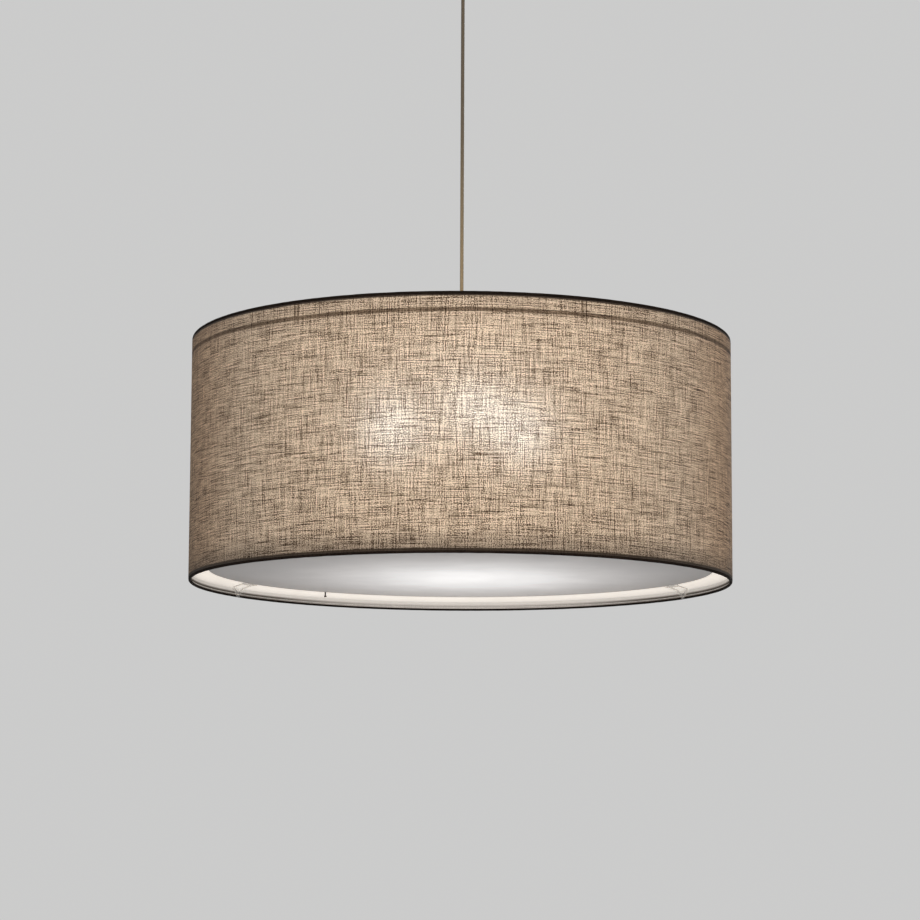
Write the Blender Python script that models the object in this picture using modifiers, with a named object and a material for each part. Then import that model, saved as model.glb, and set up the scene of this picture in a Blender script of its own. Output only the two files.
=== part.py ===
"""A drum pendant light: ceiling rose, cord, three-bulb cluster, linen shade and opal diffuser.

Metres, +Z up. The origin is the middle of the ceiling bracket's top face, and the light hangs
below it. An azimuth is counted from the viewer's side (-Y), positive towards +X.
"""

import math

import bmesh
import bpy
from mathutils import Matrix, Vector

# Sizes that serve the whole light
gap = 0.0003
overrun = 0.002
shade_drop = 0.490

# Ceiling bracket and canopy
canopy_diameter = 0.120
canopy_height = 0.034
canopy_wall = 0.0012
canopy_corner = 0.007
canopy_rim_gap = 0.0005
bracket_width = 0.022
bracket_thickness = 0.002
bracket_tab = 0.015
slot_length = 0.010
slot_width = 0.0045
slot_inset = 0.014
screw_level = 0.0085
screw_shank_diameter = 0.0038
screw_shank_length = 0.007
screw_head_diameter = 0.009
screw_head_length = 0.0045
screw_clearance = 0.0003

# Terminal block
block_length = 0.024
block_width = 0.016
block_height = 0.013
block_offset = 0.014
block_edge = 0.001
wire_hole_diameter = 0.0034
wire_hole_pitch = 0.0048
wire_holes = 3

# Cord grip with its ball
ball_diameter = 0.018
ball_gap = 0.00035
ball_level = 0.0095
collar_stem_diameter = 0.012
collar_stem_length = 0.009
collar_flange_diameter = 0.030
collar_flange_height = 0.003
collar_barrel_diameter = 0.025
collar_lip_drop = 0.0045
lock_nut_diameter = 0.019
lock_nut_height = 0.004
ferrule_diameter = 0.008
ferrule_tip_diameter = 0.0058
ferrule_length = 0.016
ferrule_straight_share = 1 / 3

# Cord
cord_diameter = 0.0042
cord_play = 0.0003
tail_lead = 0.0035

# Spider, stem and hub
ring_drop = 0.020
ring_wire_diameter = 0.0044
arm_diameter = 0.005
arm_azimuth = 10.0
arms = 3
washer_diameter = 0.044
washer_thickness = 0.0025
stem_diameter = 0.010
stem_bore_diameter = 0.006
stem_flange_diameter = 0.018
stem_flange_height = 0.006
gland_diameter = 0.016
gland_tip_diameter = 0.0075
gland_height = 0.019
gland_collar_height = 0.006
lid_thickness = 0.002
nut_diameter = 0.017
nut_height = 0.004
hub_diameter = 0.050
hub_wall = 0.002
hub_rim_rise = 0.010
cap_nut_diameter = 0.016
cap_nut_height = 0.009
cap_nut_bore_depth = 0.005
cap_nut_tip_share = 0.5

# Lampholders
holder_tilt = 35.0
nipple_diameter = 0.010
nipple_bore_diameter = 0.0066
nipple_length = 0.018
nipple_inside = 0.005
holder_length = 0.0494
holder_diameter = 0.039
holder_waist_diameter = 0.0372
holder_neck_diameter = 0.019
holder_neck_length = 0.0054
holder_shoulder_length = 0.009
holder_band_length = 0.017
holder_chamfer = 0.0013
holder_floor = 0.0174
holder_bore_diameter = 0.030
shell_outer_diameter = 0.0292
shell_wall = 0.0008
shell_setback = 0.004
shell_floor_gap = 0.002

# Bulbs
bulb_seat = 0.0035
contact_diameter = 0.010
contact_height = 0.002
contact_tip_share = 0.5
cap_diameter = 0.0261
cap_base_diameter = 0.013
cap_cone_length = 0.0045
cap_length = 0.0245
bulb_diameter = 0.060
bulb_length = 0.104
glass_thickness = 0.001
glass_neck_diameter = 0.026
glass_throat_diameter = 0.031
glass_throat_share = 0.37

# Shade
shade_diameter = 0.620
shade_height = 0.280
fabric_thickness = 0.0005
liner_thickness = 0.0005
rim_wire_diameter = 0.0024
wrap_gap = 0.00025
hem_thickness = 0.00035
hem_leg = 0.0063

# Clips
top_clips = 6
top_clip_azimuth = 25.0
top_clip_width = 0.007
top_clip_slot = 0.0026
clip_hook_angle = 150.0
grip_start_angle = 135.0
grip_end_angle = 285.0
bottom_clips = 3
bottom_clip_azimuth = 0.0
bottom_clip_width = 0.022
bottom_clip_prong = 0.0026
bottom_clip_stem = 0.005
bottom_clip_fork = 0.0046
bottom_clip_stem_rise = 0.0014
clip_thickness = 0.001
clip_gap = 0.0005
clip_bridge = 0.003
shelf_reach = 0.0035
stop_rise = 0.0035

# Diffuser
diffuser_diameter = 0.577
diffuser_thickness = 0.003
diffuser_level = 0.015
diffuser_edge = 0.0006
peg_diameter = 0.0017
peg_length = 0.0058
peg_azimuth = -145.0
peg_inset = 0.0022

# Limits of the mesh work
weld_distance = 0.000001
turn_weld_distance = 0.00001
mitre_limit = 0.5

# Facets of the round pieces
drum_facets = 72
rim_wire_facets = 5
frame_wire_facets = 6
canopy_facets = 36
body_facets = 24
small_facets = 16
nut_sides = 6
roll_steps = 5
roll_open_angle = 60.0
hook_steps = 2
grip_steps = 5
ball_steps = 8
bowl_steps = 6
glass_steps = 5
glass_shoulder_angle = 45.0
corner_steps = 3
crease_angle = 40.0
cord_bevel_resolution = 2
cord_step = 0.012

# Heights and radii that follow
shade_radius = shade_diameter / 2
shade_top = -shade_drop
shade_bottom = shade_top - shade_height
canopy_radius = canopy_diameter / 2
canopy_bottom = -canopy_height
cord_hole_radius = cord_diameter / 2 + cord_play
ball_radius = ball_diameter / 2
ball_centre = canopy_bottom - ball_level
ferrule_top = ball_centre - ball_radius - gap
roll_radius = rim_wire_diameter / 2 + wrap_gap + hem_thickness
rim_radius = shade_radius - roll_radius
liner_outer_radius = shade_radius - fabric_thickness - gap
liner_inner_radius = liner_outer_radius - liner_thickness
frame_ring_radius = liner_inner_radius - gap - ring_wire_diameter / 2
ring_level = shade_top - ring_drop
washer_top = ring_level + washer_thickness / 2
washer_bottom = ring_level - washer_thickness / 2
flange_bottom = washer_top + gap
flange_top = flange_bottom + stem_flange_height
lid_top = washer_bottom - gap
lid_bottom = lid_top - lid_thickness
nut_top = lid_bottom - gap
hub_radius = hub_diameter / 2
hub_rim = lid_bottom - gap
hub_centre = hub_rim - hub_rim_rise
cap_nut_top = hub_centre - hub_radius - gap
stem_bottom = cap_nut_top - cap_nut_bore_depth + gap
cord_bottom = washer_bottom
holder_base = hub_radius + 2 * gap
holder_mouth = holder_base + holder_length
bulb_tip = holder_base + holder_floor + bulb_seat
cap_base = bulb_tip + contact_height + gap
cap_top = cap_base + cap_length
glass_base = cap_top + gap
bulb_radius = bulb_diameter / 2
bulb_middle = bulb_tip + bulb_length - bulb_radius
diffuser_radius = diffuser_diameter / 2
diffuser_bottom = shade_bottom + diffuser_level

parts = bpy.data.collections.new("drum_pendant_light")
cutters = bpy.data.collections.new("cutters")
materials = {}


def clear_scene():
    for thing in list(bpy.data.objects):
        bpy.data.objects.remove(thing, do_unlink=True)
    for collection in (parts, cutters):
        bpy.context.scene.collection.children.link(collection)


def material(name, colour, roughness, metallic=0.0, alpha=1.0):
    made = bpy.data.materials.new(name)
    made.use_nodes = True
    shader = made.node_tree.nodes["Principled BSDF"]
    shader.inputs["Base Color"].default_value = (*colour, 1.0)
    shader.inputs["Roughness"].default_value = roughness
    shader.inputs["Metallic"].default_value = metallic
    shader.inputs["Alpha"].default_value = alpha
    made.diffuse_color = (*colour, alpha)
    materials[name] = made


def make_materials():
    material("natural_linen", (0.50, 0.38, 0.26), 0.9)
    material("linen_hem", (0.26, 0.19, 0.13), 0.9)
    material("white_liner", (0.86, 0.84, 0.80), 0.5)
    material("opal_acrylic", (0.88, 0.88, 0.86), 0.35)
    material("clear_plastic", (0.80, 0.84, 0.85), 0.15, alpha=0.5)
    material("zinc_steel", (0.60, 0.60, 0.58), 0.35, metallic=1.0)
    material("white_lacquer", (0.85, 0.85, 0.83), 0.4)
    material("white_plastic", (0.82, 0.82, 0.79), 0.45)
    material("gold_cord", (0.38, 0.27, 0.14), 0.7)
    material("brass", (0.72, 0.55, 0.28), 0.3, metallic=1.0)
    material("nickel", (0.70, 0.69, 0.66), 0.25, metallic=1.0)
    material("aluminium_cap", (0.72, 0.72, 0.73), 0.3, metallic=1.0)
    material("opal_glass", (0.92, 0.91, 0.87), 0.25, alpha=0.6)
    material("dark_pin", (0.05, 0.045, 0.04), 0.5, metallic=1.0)


def heading(azimuth):
    """The angle about +Z of a direction given by its azimuth from the viewer's side."""
    return math.radians(azimuth - 90.0)


def polar(radius, azimuth, level):
    angle = heading(azimuth)
    return Vector((radius * math.cos(angle), radius * math.sin(angle), level))


def add_part(name, data, finish, collection=None):
    made = bpy.data.objects.new(name, data)
    (collection or parts).objects.link(made)
    if finish:
        data.materials.append(materials[finish])
    return made


def turned(name, profile, facets, finish, closed):
    """A profile of (radius, height) points, top to bottom down its outer side, turned about Z."""
    mesh = bpy.data.meshes.new(name)
    count = len(profile)
    edges = [(i, i + 1) for i in range(count - 1)]
    if closed:
        edges.append((count - 1, 0))
    mesh.from_pydata([(radius, 0.0, height) for radius, height in profile], edges, [])
    made = add_part(name, mesh, finish)
    screw = made.modifiers.new("turn", "SCREW")
    screw.axis = "Z"
    screw.steps = facets
    screw.render_steps = facets
    screw.use_merge_vertices = True
    screw.merge_threshold = turn_weld_distance
    screw.use_smooth_shade = True
    return made


def ring(name, radius, wire_radius, level, wire_facets, finish):
    bpy.ops.mesh.primitive_torus_add(
        major_radius=radius,
        minor_radius=wire_radius,
        major_segments=drum_facets,
        minor_segments=wire_facets,
        location=(0.0, 0.0, level),
    )
    made = bpy.context.object
    made.name = name
    made.data.name = name
    for holder in list(made.users_collection):
        holder.objects.unlink(made)
    parts.objects.link(made)
    made.data.materials.append(materials[finish])
    made.data.shade_smooth()
    return made


def cylinder_mesh(name, radius, length, facets):
    """A capped cylinder along Z that starts at the origin."""
    form = bmesh.new()
    bmesh.ops.create_cone(
        form,
        cap_ends=True,
        segments=facets,
        radius1=radius,
        radius2=radius,
        depth=length,
        matrix=Matrix.Translation((0.0, 0.0, length / 2)),
    )
    mesh = bpy.data.meshes.new(name)
    form.to_mesh(mesh)
    form.free()
    mesh.shade_smooth()
    mesh.set_sharp_from_angle(angle=math.radians(crease_angle))
    return mesh


def rod(name, start, end, radius, facets, finish):
    """A straight round rod between two points."""
    along = end - start
    made = add_part(name, cylinder_mesh(name, radius, along.length, facets), finish)
    made.location = start
    made.rotation_euler = along.to_track_quat("Z", "Y").to_euler()
    return made


def box_mesh(name, size, middle):
    form = bmesh.new()
    bmesh.ops.create_cube(
        form, size=1.0, matrix=Matrix.Translation(middle) @ Matrix.Diagonal((*size, 1.0))
    )
    mesh = bpy.data.meshes.new(name)
    form.to_mesh(mesh)
    form.free()
    return mesh


def prism_mesh(name, outline, start, depth):
    """A flat outline of (across, height) points, drawn out along X from start."""
    form = bmesh.new()
    near = [form.verts.new((start, across, height)) for across, height in outline]
    far = [form.verts.new((start + depth, across, height)) for across, height in outline]
    form.faces.new(near)
    form.faces.new(far)
    for i in range(len(outline)):
        form.faces.new((near[i - 1], near[i], far[i], far[i - 1]))
    bmesh.ops.recalc_face_normals(form, faces=form.faces)
    mesh = bpy.data.meshes.new(name)
    form.to_mesh(mesh)
    form.free()
    return mesh


def cutter(name, mesh):
    """A shape that only cuts: hidden, wire, and in its own collection."""
    made = add_part(name, mesh, None, cutters)
    made.hide_render = True
    made.display_type = "WIRE"
    return made


def combine(target, tool, operation):
    boolean = target.modifiers.new(f"{operation.lower()}_{tool.name}", "BOOLEAN")
    boolean.operation = operation
    boolean.solver = "EXACT"
    boolean.object = tool


def arc(centre, radius, first, last, steps):
    """Points of a circle's arc in a profile, from one angle to another, in degrees."""
    points = []
    for i in range(steps + 1):
        angle = math.radians(first + (last - first) * i / steps)
        points.append((centre[0] + radius * math.cos(angle), centre[1] + radius * math.sin(angle)))
    return points


def band_sides(path, thickness):
    """The two sides of a band of even thickness along a path, with mitred bends."""
    left, right = [], []
    for i, point in enumerate(path):
        here = Vector(point)
        before = (here - Vector(path[i - 1])).normalized() if i > 0 else None
        after = (Vector(path[i + 1]) - here).normalized() if i < len(path) - 1 else None
        tangents = [t for t in (before, after) if t is not None]
        middle = sum(tangents, Vector((0.0, 0.0))).normalized()
        normal = Vector((-middle.y, middle.x))
        stretch = 1.0 / max(middle.dot(tangents[0]), mitre_limit)
        left.append(here + normal * thickness / 2 * stretch)
        right.append(here - normal * thickness / 2 * stretch)
    return left, right


def band_plate(name, path, thickness, width, finish, collection=None):
    """A bent strip: its path lies in the radial plane, and its width runs across it."""
    left, right = band_sides(path, thickness)
    outline = left + right[::-1]
    curve = bpy.data.curves.new(name, "CURVE")
    curve.dimensions = "2D"
    curve.fill_mode = "BOTH"
    curve.extrude = width / 2
    spline = curve.splines.new("POLY")
    spline.points.add(len(outline) - 1)
    for point, place in zip(spline.points, outline):
        point.co = (place.x, place.y, 0.0, 1.0)
    spline.use_cyclic_u = True
    guide = bpy.data.objects.new(f"{name}_outline", curve)
    parts.objects.link(guide)
    seen = guide.evaluated_get(bpy.context.evaluated_depsgraph_get())
    mesh = bpy.data.meshes.new_from_object(seen)
    bpy.data.objects.remove(guide, do_unlink=True)
    form = bmesh.new()
    form.from_mesh(mesh)
    bmesh.ops.remove_doubles(form, verts=form.verts, dist=weld_distance)
    bmesh.ops.rotate(form, verts=form.verts, matrix=Matrix.Rotation(math.radians(90.0), 3, "X"))
    bmesh.ops.recalc_face_normals(form, faces=form.faces)
    form.to_mesh(mesh)
    form.free()
    mesh.name = name
    return add_part(name, mesh, finish, collection)


def make_bracket():
    """A steel strip with two tabs turned down to the canopy's wall."""
    flat_radius = (canopy_radius - canopy_wall) * math.cos(math.pi / canopy_facets) - gap
    half = math.sqrt(flat_radius**2 - (bracket_width / 2) ** 2) - bracket_thickness / 2
    level = -bracket_thickness / 2
    path = [(-half, -bracket_tab), (-half, level), (half, level), (half, -bracket_tab)]
    bracket = band_plate(
        "ceiling_bracket", path, bracket_thickness, bracket_width, "zinc_steel"
    )
    for side in (-1, 1):
        name = "left" if side < 0 else "right"
        middle = side * (canopy_radius - slot_inset)
        straight = slot_length - slot_width
        depth = bracket_thickness + 2 * overrun
        slot = cutter(
            f"slot_{name}",
            box_mesh(f"slot_{name}", (straight, slot_width, depth), (middle, 0.0, level)),
        )
        combine(bracket, slot, "DIFFERENCE")
        for end in (-1, 1):
            round_end = cutter(
                f"slot_end_{name}_{end}",
                cylinder_mesh("slot_end", slot_width / 2, depth, small_facets),
            )
            round_end.location = (middle + end * straight / 2, 0.0, level - depth / 2)
            combine(bracket, round_end, "DIFFERENCE")
    return bracket


def make_canopy():
    """A shallow cup, open to the ceiling, with a hole for the cord grip."""
    inner = canopy_radius - canopy_wall
    floor = canopy_bottom + canopy_wall
    hole = collar_stem_diameter / 2 + gap
    corner = (canopy_radius - canopy_corner, canopy_bottom + canopy_corner)
    outside = [(canopy_radius, -canopy_rim_gap)]
    outside += arc(corner, canopy_corner, 0.0, -90.0, corner_steps)
    inside = [(hole, canopy_bottom), (hole, floor)]
    inside += arc(corner, canopy_corner - canopy_wall, -90.0, 0.0, corner_steps)
    inside.append((inner, -canopy_rim_gap))
    return turned("canopy", outside + inside, canopy_facets, "white_lacquer", closed=True)


def make_canopy_screws(bracket, canopy):
    """A thumb screw on each side holds the canopy to the bracket's tab."""
    head_start = canopy_radius + gap
    head_end = head_start + screw_head_length
    head = screw_head_diameter / 2
    shank = screw_shank_diameter / 2
    profile = [
        (0.0, head_end),
        (head - screw_clearance, head_end),
        (head, head_end - screw_clearance),
        (head, head_start),
        (shank, head_start),
        (shank, head_start - screw_shank_length),
        (0.0, head_start - screw_shank_length),
    ]
    for number, side in enumerate((-1, 1), start=1):
        turn = (0.0, side * math.radians(90.0), 0.0)
        place = (0.0, 0.0, -screw_level)
        screw = turned(f"canopy_screw_{number}", profile, small_facets, "nickel", closed=False)
        screw.rotation_euler = turn
        screw.location = place
        hole = cutter(
            f"screw_hole_{number}",
            cylinder_mesh(
                "screw_hole", shank + screw_clearance, canopy_radius + overrun, small_facets
            ),
        )
        hole.rotation_euler = turn
        hole.location = place
        for target in (bracket, canopy):
            combine(target, hole, "DIFFERENCE")


def make_terminal_block():
    """A three-way terminal block under the bracket."""
    top = -bracket_thickness - gap
    middle = (block_offset + block_length / 2, 0.0, top - block_height / 2)
    block = add_part(
        "terminal_block",
        box_mesh("terminal_block", (block_length, block_width, block_height), middle),
        "white_plastic",
    )
    edge = block.modifiers.new("edge", "BEVEL")
    edge.width = block_edge
    edge.segments = 1
    for i in range(wire_holes):
        hole = cutter(
            f"wire_hole_{i + 1}",
            cylinder_mesh(
                "wire_hole", wire_hole_diameter / 2, block_length + 2 * overrun, small_facets
            ),
        )
        hole.rotation_euler = (0.0, math.radians(90.0), 0.0)
        shift = (i - (wire_holes - 1) / 2) * wire_hole_pitch
        hole.location = (block_offset - overrun, shift, middle[2])
        combine(block, hole, "DIFFERENCE")
    return middle[2]


def make_cord_grip():
    """A collar under the canopy with a ball in its socket, locked by a nut inside."""
    stem = collar_stem_diameter / 2
    stem_top = canopy_bottom + collar_stem_length
    flange = collar_flange_diameter / 2
    flange_top = canopy_bottom - gap
    flange_foot = flange_top - collar_flange_height
    barrel = collar_barrel_diameter / 2
    lip = ball_centre - collar_lip_drop
    socket = ball_radius + ball_gap
    lip_angle = -math.degrees(math.asin(collar_lip_drop / socket))
    bore_angle = math.degrees(math.acos(cord_hole_radius / socket))
    profile = [
        (stem, stem_top),
        (stem, flange_top),
        (flange, flange_top),
        (flange, flange_foot),
        (barrel, flange_foot - collar_flange_height / 2),
        (barrel, lip),
    ]
    profile += arc((0.0, ball_centre), socket, lip_angle, bore_angle, ball_steps)
    profile.append((cord_hole_radius, stem_top))
    turned("cord_grip_collar", profile, body_facets, "white_plastic", closed=True)

    nut_foot = canopy_bottom + canopy_wall + gap
    nut = [
        (lock_nut_diameter / 2, nut_foot + lock_nut_height),
        (lock_nut_diameter / 2, nut_foot),
        (stem + gap, nut_foot),
        (stem + gap, nut_foot + lock_nut_height),
    ]
    turned("cord_grip_lock_nut", nut, body_facets, "white_plastic", closed=True)

    ball = arc((0.0, ball_centre), ball_radius, bore_angle, -bore_angle, ball_steps)
    turned("swivel_ball", ball, body_facets, "white_plastic", closed=True)

    ferrule_foot = ferrule_top - ferrule_length
    ferrule = [
        (ferrule_diameter / 2, ferrule_top),
        (ferrule_diameter / 2, ferrule_top - ferrule_length * ferrule_straight_share),
        (ferrule_tip_diameter / 2, ferrule_foot),
        (cord_hole_radius, ferrule_foot),
        (cord_hole_radius, ferrule_top),
    ]
    turned("cord_ferrule", ferrule, small_facets, "nickel", closed=True)


def tube(name, points, diameter, finish):
    """A round cord along points, with filled ends."""
    curve = bpy.data.curves.new(name, "CURVE")
    curve.dimensions = "3D"
    curve.bevel_depth = diameter / 2
    curve.bevel_resolution = cord_bevel_resolution
    curve.use_fill_caps = True
    spline = curve.splines.new("POLY")
    spline.points.add(len(points) - 1)
    for point, place in zip(spline.points, points):
        point.co = (*place, 1.0)
    return add_part(name, curve, finish)


def make_cords(block_level):
    """The cord from the ball down into the stem, and its tail to the terminal block."""
    length = ferrule_top - cord_bottom
    steps = round(length / cord_step)
    tube(
        "suspension_cord",
        [(0.0, 0.0, ferrule_top - length * i / steps) for i in range(steps + 1)],
        cord_diameter,
        "gold_cord",
    )
    ball_top = ball_centre + ball_radius + ball_gap
    bend_start = canopy_bottom + collar_stem_length - tail_lead
    reach = block_offset - gap
    rise = block_level - bend_start
    points = [(0.0, 0.0, ball_top), (0.0, 0.0, (ball_top + bend_start) / 2)]
    for i in range(ball_steps + 1):
        turn = math.radians(90.0) * i / ball_steps
        points.append((reach * (1 - math.cos(turn)), 0.0, bend_start + rise * math.sin(turn)))
    tube("cord_tail", points, cord_diameter, "gold_cord")


def make_spider():
    """The frame ring inside the shade, its arms and the washer they meet."""
    ring(
        "frame_ring",
        frame_ring_radius,
        ring_wire_diameter / 2,
        ring_level,
        frame_wire_facets,
        "zinc_steel",
    )
    outer = washer_diameter / 2
    inner = stem_diameter / 2 + gap
    washer = [(outer, washer_top), (outer, washer_bottom), (inner, washer_bottom)]
    washer.append((inner, washer_top))
    turned("spider_washer", washer, body_facets, "zinc_steel", closed=True)
    ring_side = frame_ring_radius - ring_wire_diameter / 2 - gap
    for i in range(arms):
        azimuth = arm_azimuth + i * 360.0 / arms
        rod(
            f"spider_arm_{i + 1}",
            polar(outer + gap, azimuth, ring_level),
            polar(ring_side, azimuth, ring_level),
            arm_diameter / 2,
            small_facets,
            "zinc_steel",
        )


def make_stem():
    """The threaded stem through washer, lid and hub, with its gland, nut and cap nut."""
    flange = stem_flange_diameter / 2
    tube_radius = stem_diameter / 2
    bore = stem_bore_diameter / 2
    stem = [
        (flange, flange_top),
        (flange, flange_bottom),
        (tube_radius, flange_bottom),
        (tube_radius, stem_bottom),
        (bore, stem_bottom),
        (bore, flange_top),
    ]
    turned("hub_stem", stem, body_facets, "nickel", closed=True)

    foot = flange_top + gap
    gland = [
        (gland_tip_diameter / 2, foot + gland_height),
        (gland_diameter / 2, foot + gland_collar_height),
        (gland_diameter / 2, foot),
        (cord_hole_radius, foot),
        (cord_hole_radius, foot + gland_height),
    ]
    turned("cord_gland", gland, small_facets, "white_plastic", closed=True)

    hole = tube_radius + gap
    nut = add_part(
        "stem_nut", cylinder_mesh("stem_nut", nut_diameter / 2, nut_height, nut_sides), "nickel"
    )
    nut.location.z = nut_top - nut_height
    nut_bore = cutter(
        "stem_nut_bore",
        cylinder_mesh("stem_nut_bore", hole, nut_height + 2 * overrun, body_facets),
    )
    nut_bore.location.z = nut_top - nut_height - overrun
    combine(nut, nut_bore, "DIFFERENCE")

    cap = cap_nut_diameter / 2
    cap_foot = cap_nut_top - cap_nut_height
    bore_floor = cap_nut_top - cap_nut_bore_depth
    cap_nut = [
        (hole, cap_nut_top),
        (cap, cap_nut_top),
        (cap, bore_floor),
        (cap * cap_nut_tip_share, cap_foot),
        (0.0, cap_foot),
    ]
    cap_nut = [(0.0, bore_floor), (hole, bore_floor)] + cap_nut
    turned("hub_cap_nut", cap_nut, small_facets, "nickel", closed=False)


def holder_pose():
    """One empty for each light, at the hub's middle, with its Z along the lampholder."""
    frames = []
    for i in range(arms):
        azimuth = arm_azimuth + i * 360.0 / arms
        frame = bpy.data.objects.new(f"light_axis_{i + 1}", None)
        parts.objects.link(frame)
        frame.location = (0.0, 0.0, hub_centre)
        frame.rotation_euler = (0.0, math.radians(90.0 + holder_tilt), heading(azimuth))
        frames.append(frame)
    return frames


def make_hub(frames):
    """A round bowl under its lid, with a hole for each lampholder's nipple."""
    stem_hole = stem_diameter / 2 + gap
    inner = hub_radius - hub_wall
    rim_angle = math.degrees(math.asin(hub_rim_rise / hub_radius))
    inner_rim_angle = math.degrees(math.asin(hub_rim_rise / inner))
    foot_angle = -math.degrees(math.acos(stem_hole / hub_radius))
    inner_foot_angle = -math.degrees(math.acos(stem_hole / inner))
    centre = (0.0, hub_centre)
    bowl = arc(centre, hub_radius, rim_angle, foot_angle, bowl_steps)
    bowl += arc(centre, inner, inner_foot_angle, inner_rim_angle, bowl_steps)
    hub = turned("hub_bowl", bowl, body_facets, "white_lacquer", closed=True)
    for i, frame in enumerate(frames):
        hole = cutter(
            f"nipple_hole_{i + 1}",
            cylinder_mesh(
                "nipple_hole", nipple_diameter / 2 + gap, hub_radius + overrun, small_facets
            ),
        )
        hole.parent = frame
        combine(hub, hole, "DIFFERENCE")
    lid = [
        (washer_diameter / 2, lid_top),
        (washer_diameter / 2, lid_bottom),
        (stem_hole, lid_bottom),
        (stem_hole, lid_top),
    ]
    turned("hub_lid", lid, body_facets, "white_lacquer", closed=True)


def make_light(number, frame):
    """A lampholder on its nipple with a bulb in it, along the frame's Z."""
    suffix = f"_{number}"
    nipple_start = hub_radius - nipple_inside
    nipple = [
        (nipple_diameter / 2, nipple_start + nipple_length),
        (nipple_diameter / 2, nipple_start),
        (nipple_bore_diameter / 2, nipple_start),
        (nipple_bore_diameter / 2, nipple_start + nipple_length),
    ]
    body = holder_diameter / 2
    waist = holder_waist_diameter / 2
    neck = holder_neck_diameter / 2
    bore = holder_bore_diameter / 2
    floor = holder_base + holder_floor
    nipple_hole = nipple_diameter / 2 + gap
    neck_end = holder_base + holder_neck_length
    band_start = holder_mouth - holder_band_length
    holder = [
        (body - holder_chamfer, holder_mouth),
        (body, holder_mouth - holder_chamfer),
        (body, band_start),
        (waist, band_start),
        (waist, neck_end + holder_shoulder_length),
        (neck, neck_end),
        (neck, holder_base),
        (nipple_hole, holder_base),
        (nipple_hole, floor),
        (bore, floor),
        (bore, holder_mouth),
    ]
    shell_outer = shell_outer_diameter / 2
    shell_inner = shell_outer - shell_wall
    shell_low = floor + shell_floor_gap
    shell_high = holder_mouth - shell_setback
    shell = [
        (shell_outer, shell_high),
        (shell_outer, shell_low),
        (shell_inner, shell_low),
        (shell_inner, shell_high),
    ]
    contact = [
        (0.0, bulb_tip + contact_height),
        (contact_diameter / 2, bulb_tip + contact_height),
        (contact_diameter / 2 * contact_tip_share, bulb_tip),
        (0.0, bulb_tip),
    ]
    cap = [
        (0.0, cap_top),
        (cap_diameter / 2, cap_top),
        (cap_diameter / 2, cap_base + cap_cone_length),
        (cap_base_diameter / 2, cap_base),
        (0.0, cap_base),
    ]
    neck_radius = glass_neck_diameter / 2
    throat = glass_throat_diameter / 2
    throat_level = glass_base + (bulb_middle - glass_base) * glass_throat_share
    middle = (0.0, bulb_middle)
    outside = arc(middle, bulb_radius, 90.0, -glass_shoulder_angle, glass_steps)
    outside[0] = (0.0, bulb_middle + bulb_radius)
    outside += [(throat, throat_level), (neck_radius, glass_base)]
    inside = [(neck_radius - glass_thickness, glass_base), (throat - glass_thickness, throat_level)]
    inner_radius = bulb_radius - glass_thickness
    inside += arc(middle, inner_radius, -glass_shoulder_angle, 90.0, glass_steps)
    inside[-1] = (0.0, bulb_middle + bulb_radius - glass_thickness)
    pieces = [
        turned("holder_nipple" + suffix, nipple, small_facets, "nickel", closed=True),
        turned("lampholder" + suffix, holder, body_facets, "white_plastic", closed=True),
        turned("holder_shell" + suffix, shell, body_facets, "brass", closed=True),
        turned("bulb_contact" + suffix, contact, small_facets, "brass", closed=False),
        turned("bulb_cap" + suffix, cap, body_facets, "aluminium_cap", closed=False),
        turned("bulb_glass" + suffix, outside + inside, body_facets, "opal_glass", closed=False),
    ]
    for piece in pieces:
        piece.parent = frame


def mirrored(points, level):
    """The same profile upside down about a level."""
    return [(radius, 2 * level - height) for radius, height in points]


def make_shade():
    """Linen on a white liner between two wired hems."""
    middle = (shade_top + shade_bottom) / 2
    skin_top = shade_top - 2 * roll_radius - gap
    skin_bottom = 2 * middle - skin_top
    fabric_inner = shade_radius - fabric_thickness
    fabric = [
        (shade_radius, skin_top),
        (shade_radius, skin_bottom),
        (fabric_inner, skin_bottom),
        (fabric_inner, skin_top),
    ]
    turned("shade_fabric", fabric, drum_facets, "natural_linen", closed=True)
    liner = [
        (liner_outer_radius, skin_top),
        (liner_outer_radius, skin_bottom),
        (liner_inner_radius, skin_bottom),
        (liner_inner_radius, skin_top),
    ]
    turned("shade_liner", liner, drum_facets, "white_liner", closed=True)

    rim_level = shade_top - roll_radius
    wrap = rim_wire_diameter / 2 + wrap_gap + hem_thickness / 2
    leg_radius = liner_inner_radius - gap - hem_thickness / 2
    leg_top = skin_top - roll_radius / 2
    path = arc(
        (rim_radius, rim_level),
        wrap,
        -roll_open_angle,
        180.0 + roll_open_angle,
        roll_steps,
    )
    path += [(leg_radius, leg_top), (leg_radius, leg_top - hem_leg)]
    left, right = band_sides(path, hem_thickness)
    top_hem = [(p.x, p.y) for p in left + right[::-1]]
    turned("shade_top_hem", top_hem, drum_facets, "linen_hem", closed=True)
    bottom_hem = mirrored(top_hem, middle)[::-1]
    turned("shade_bottom_hem", bottom_hem, drum_facets, "linen_hem", closed=True)
    for name, level in (("top", rim_level), ("bottom", 2 * middle - rim_level)):
        ring(
            f"shade_{name}_ring",
            rim_radius,
            rim_wire_diameter / 2,
            level,
            rim_wire_facets,
            "zinc_steel",
        )


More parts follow.
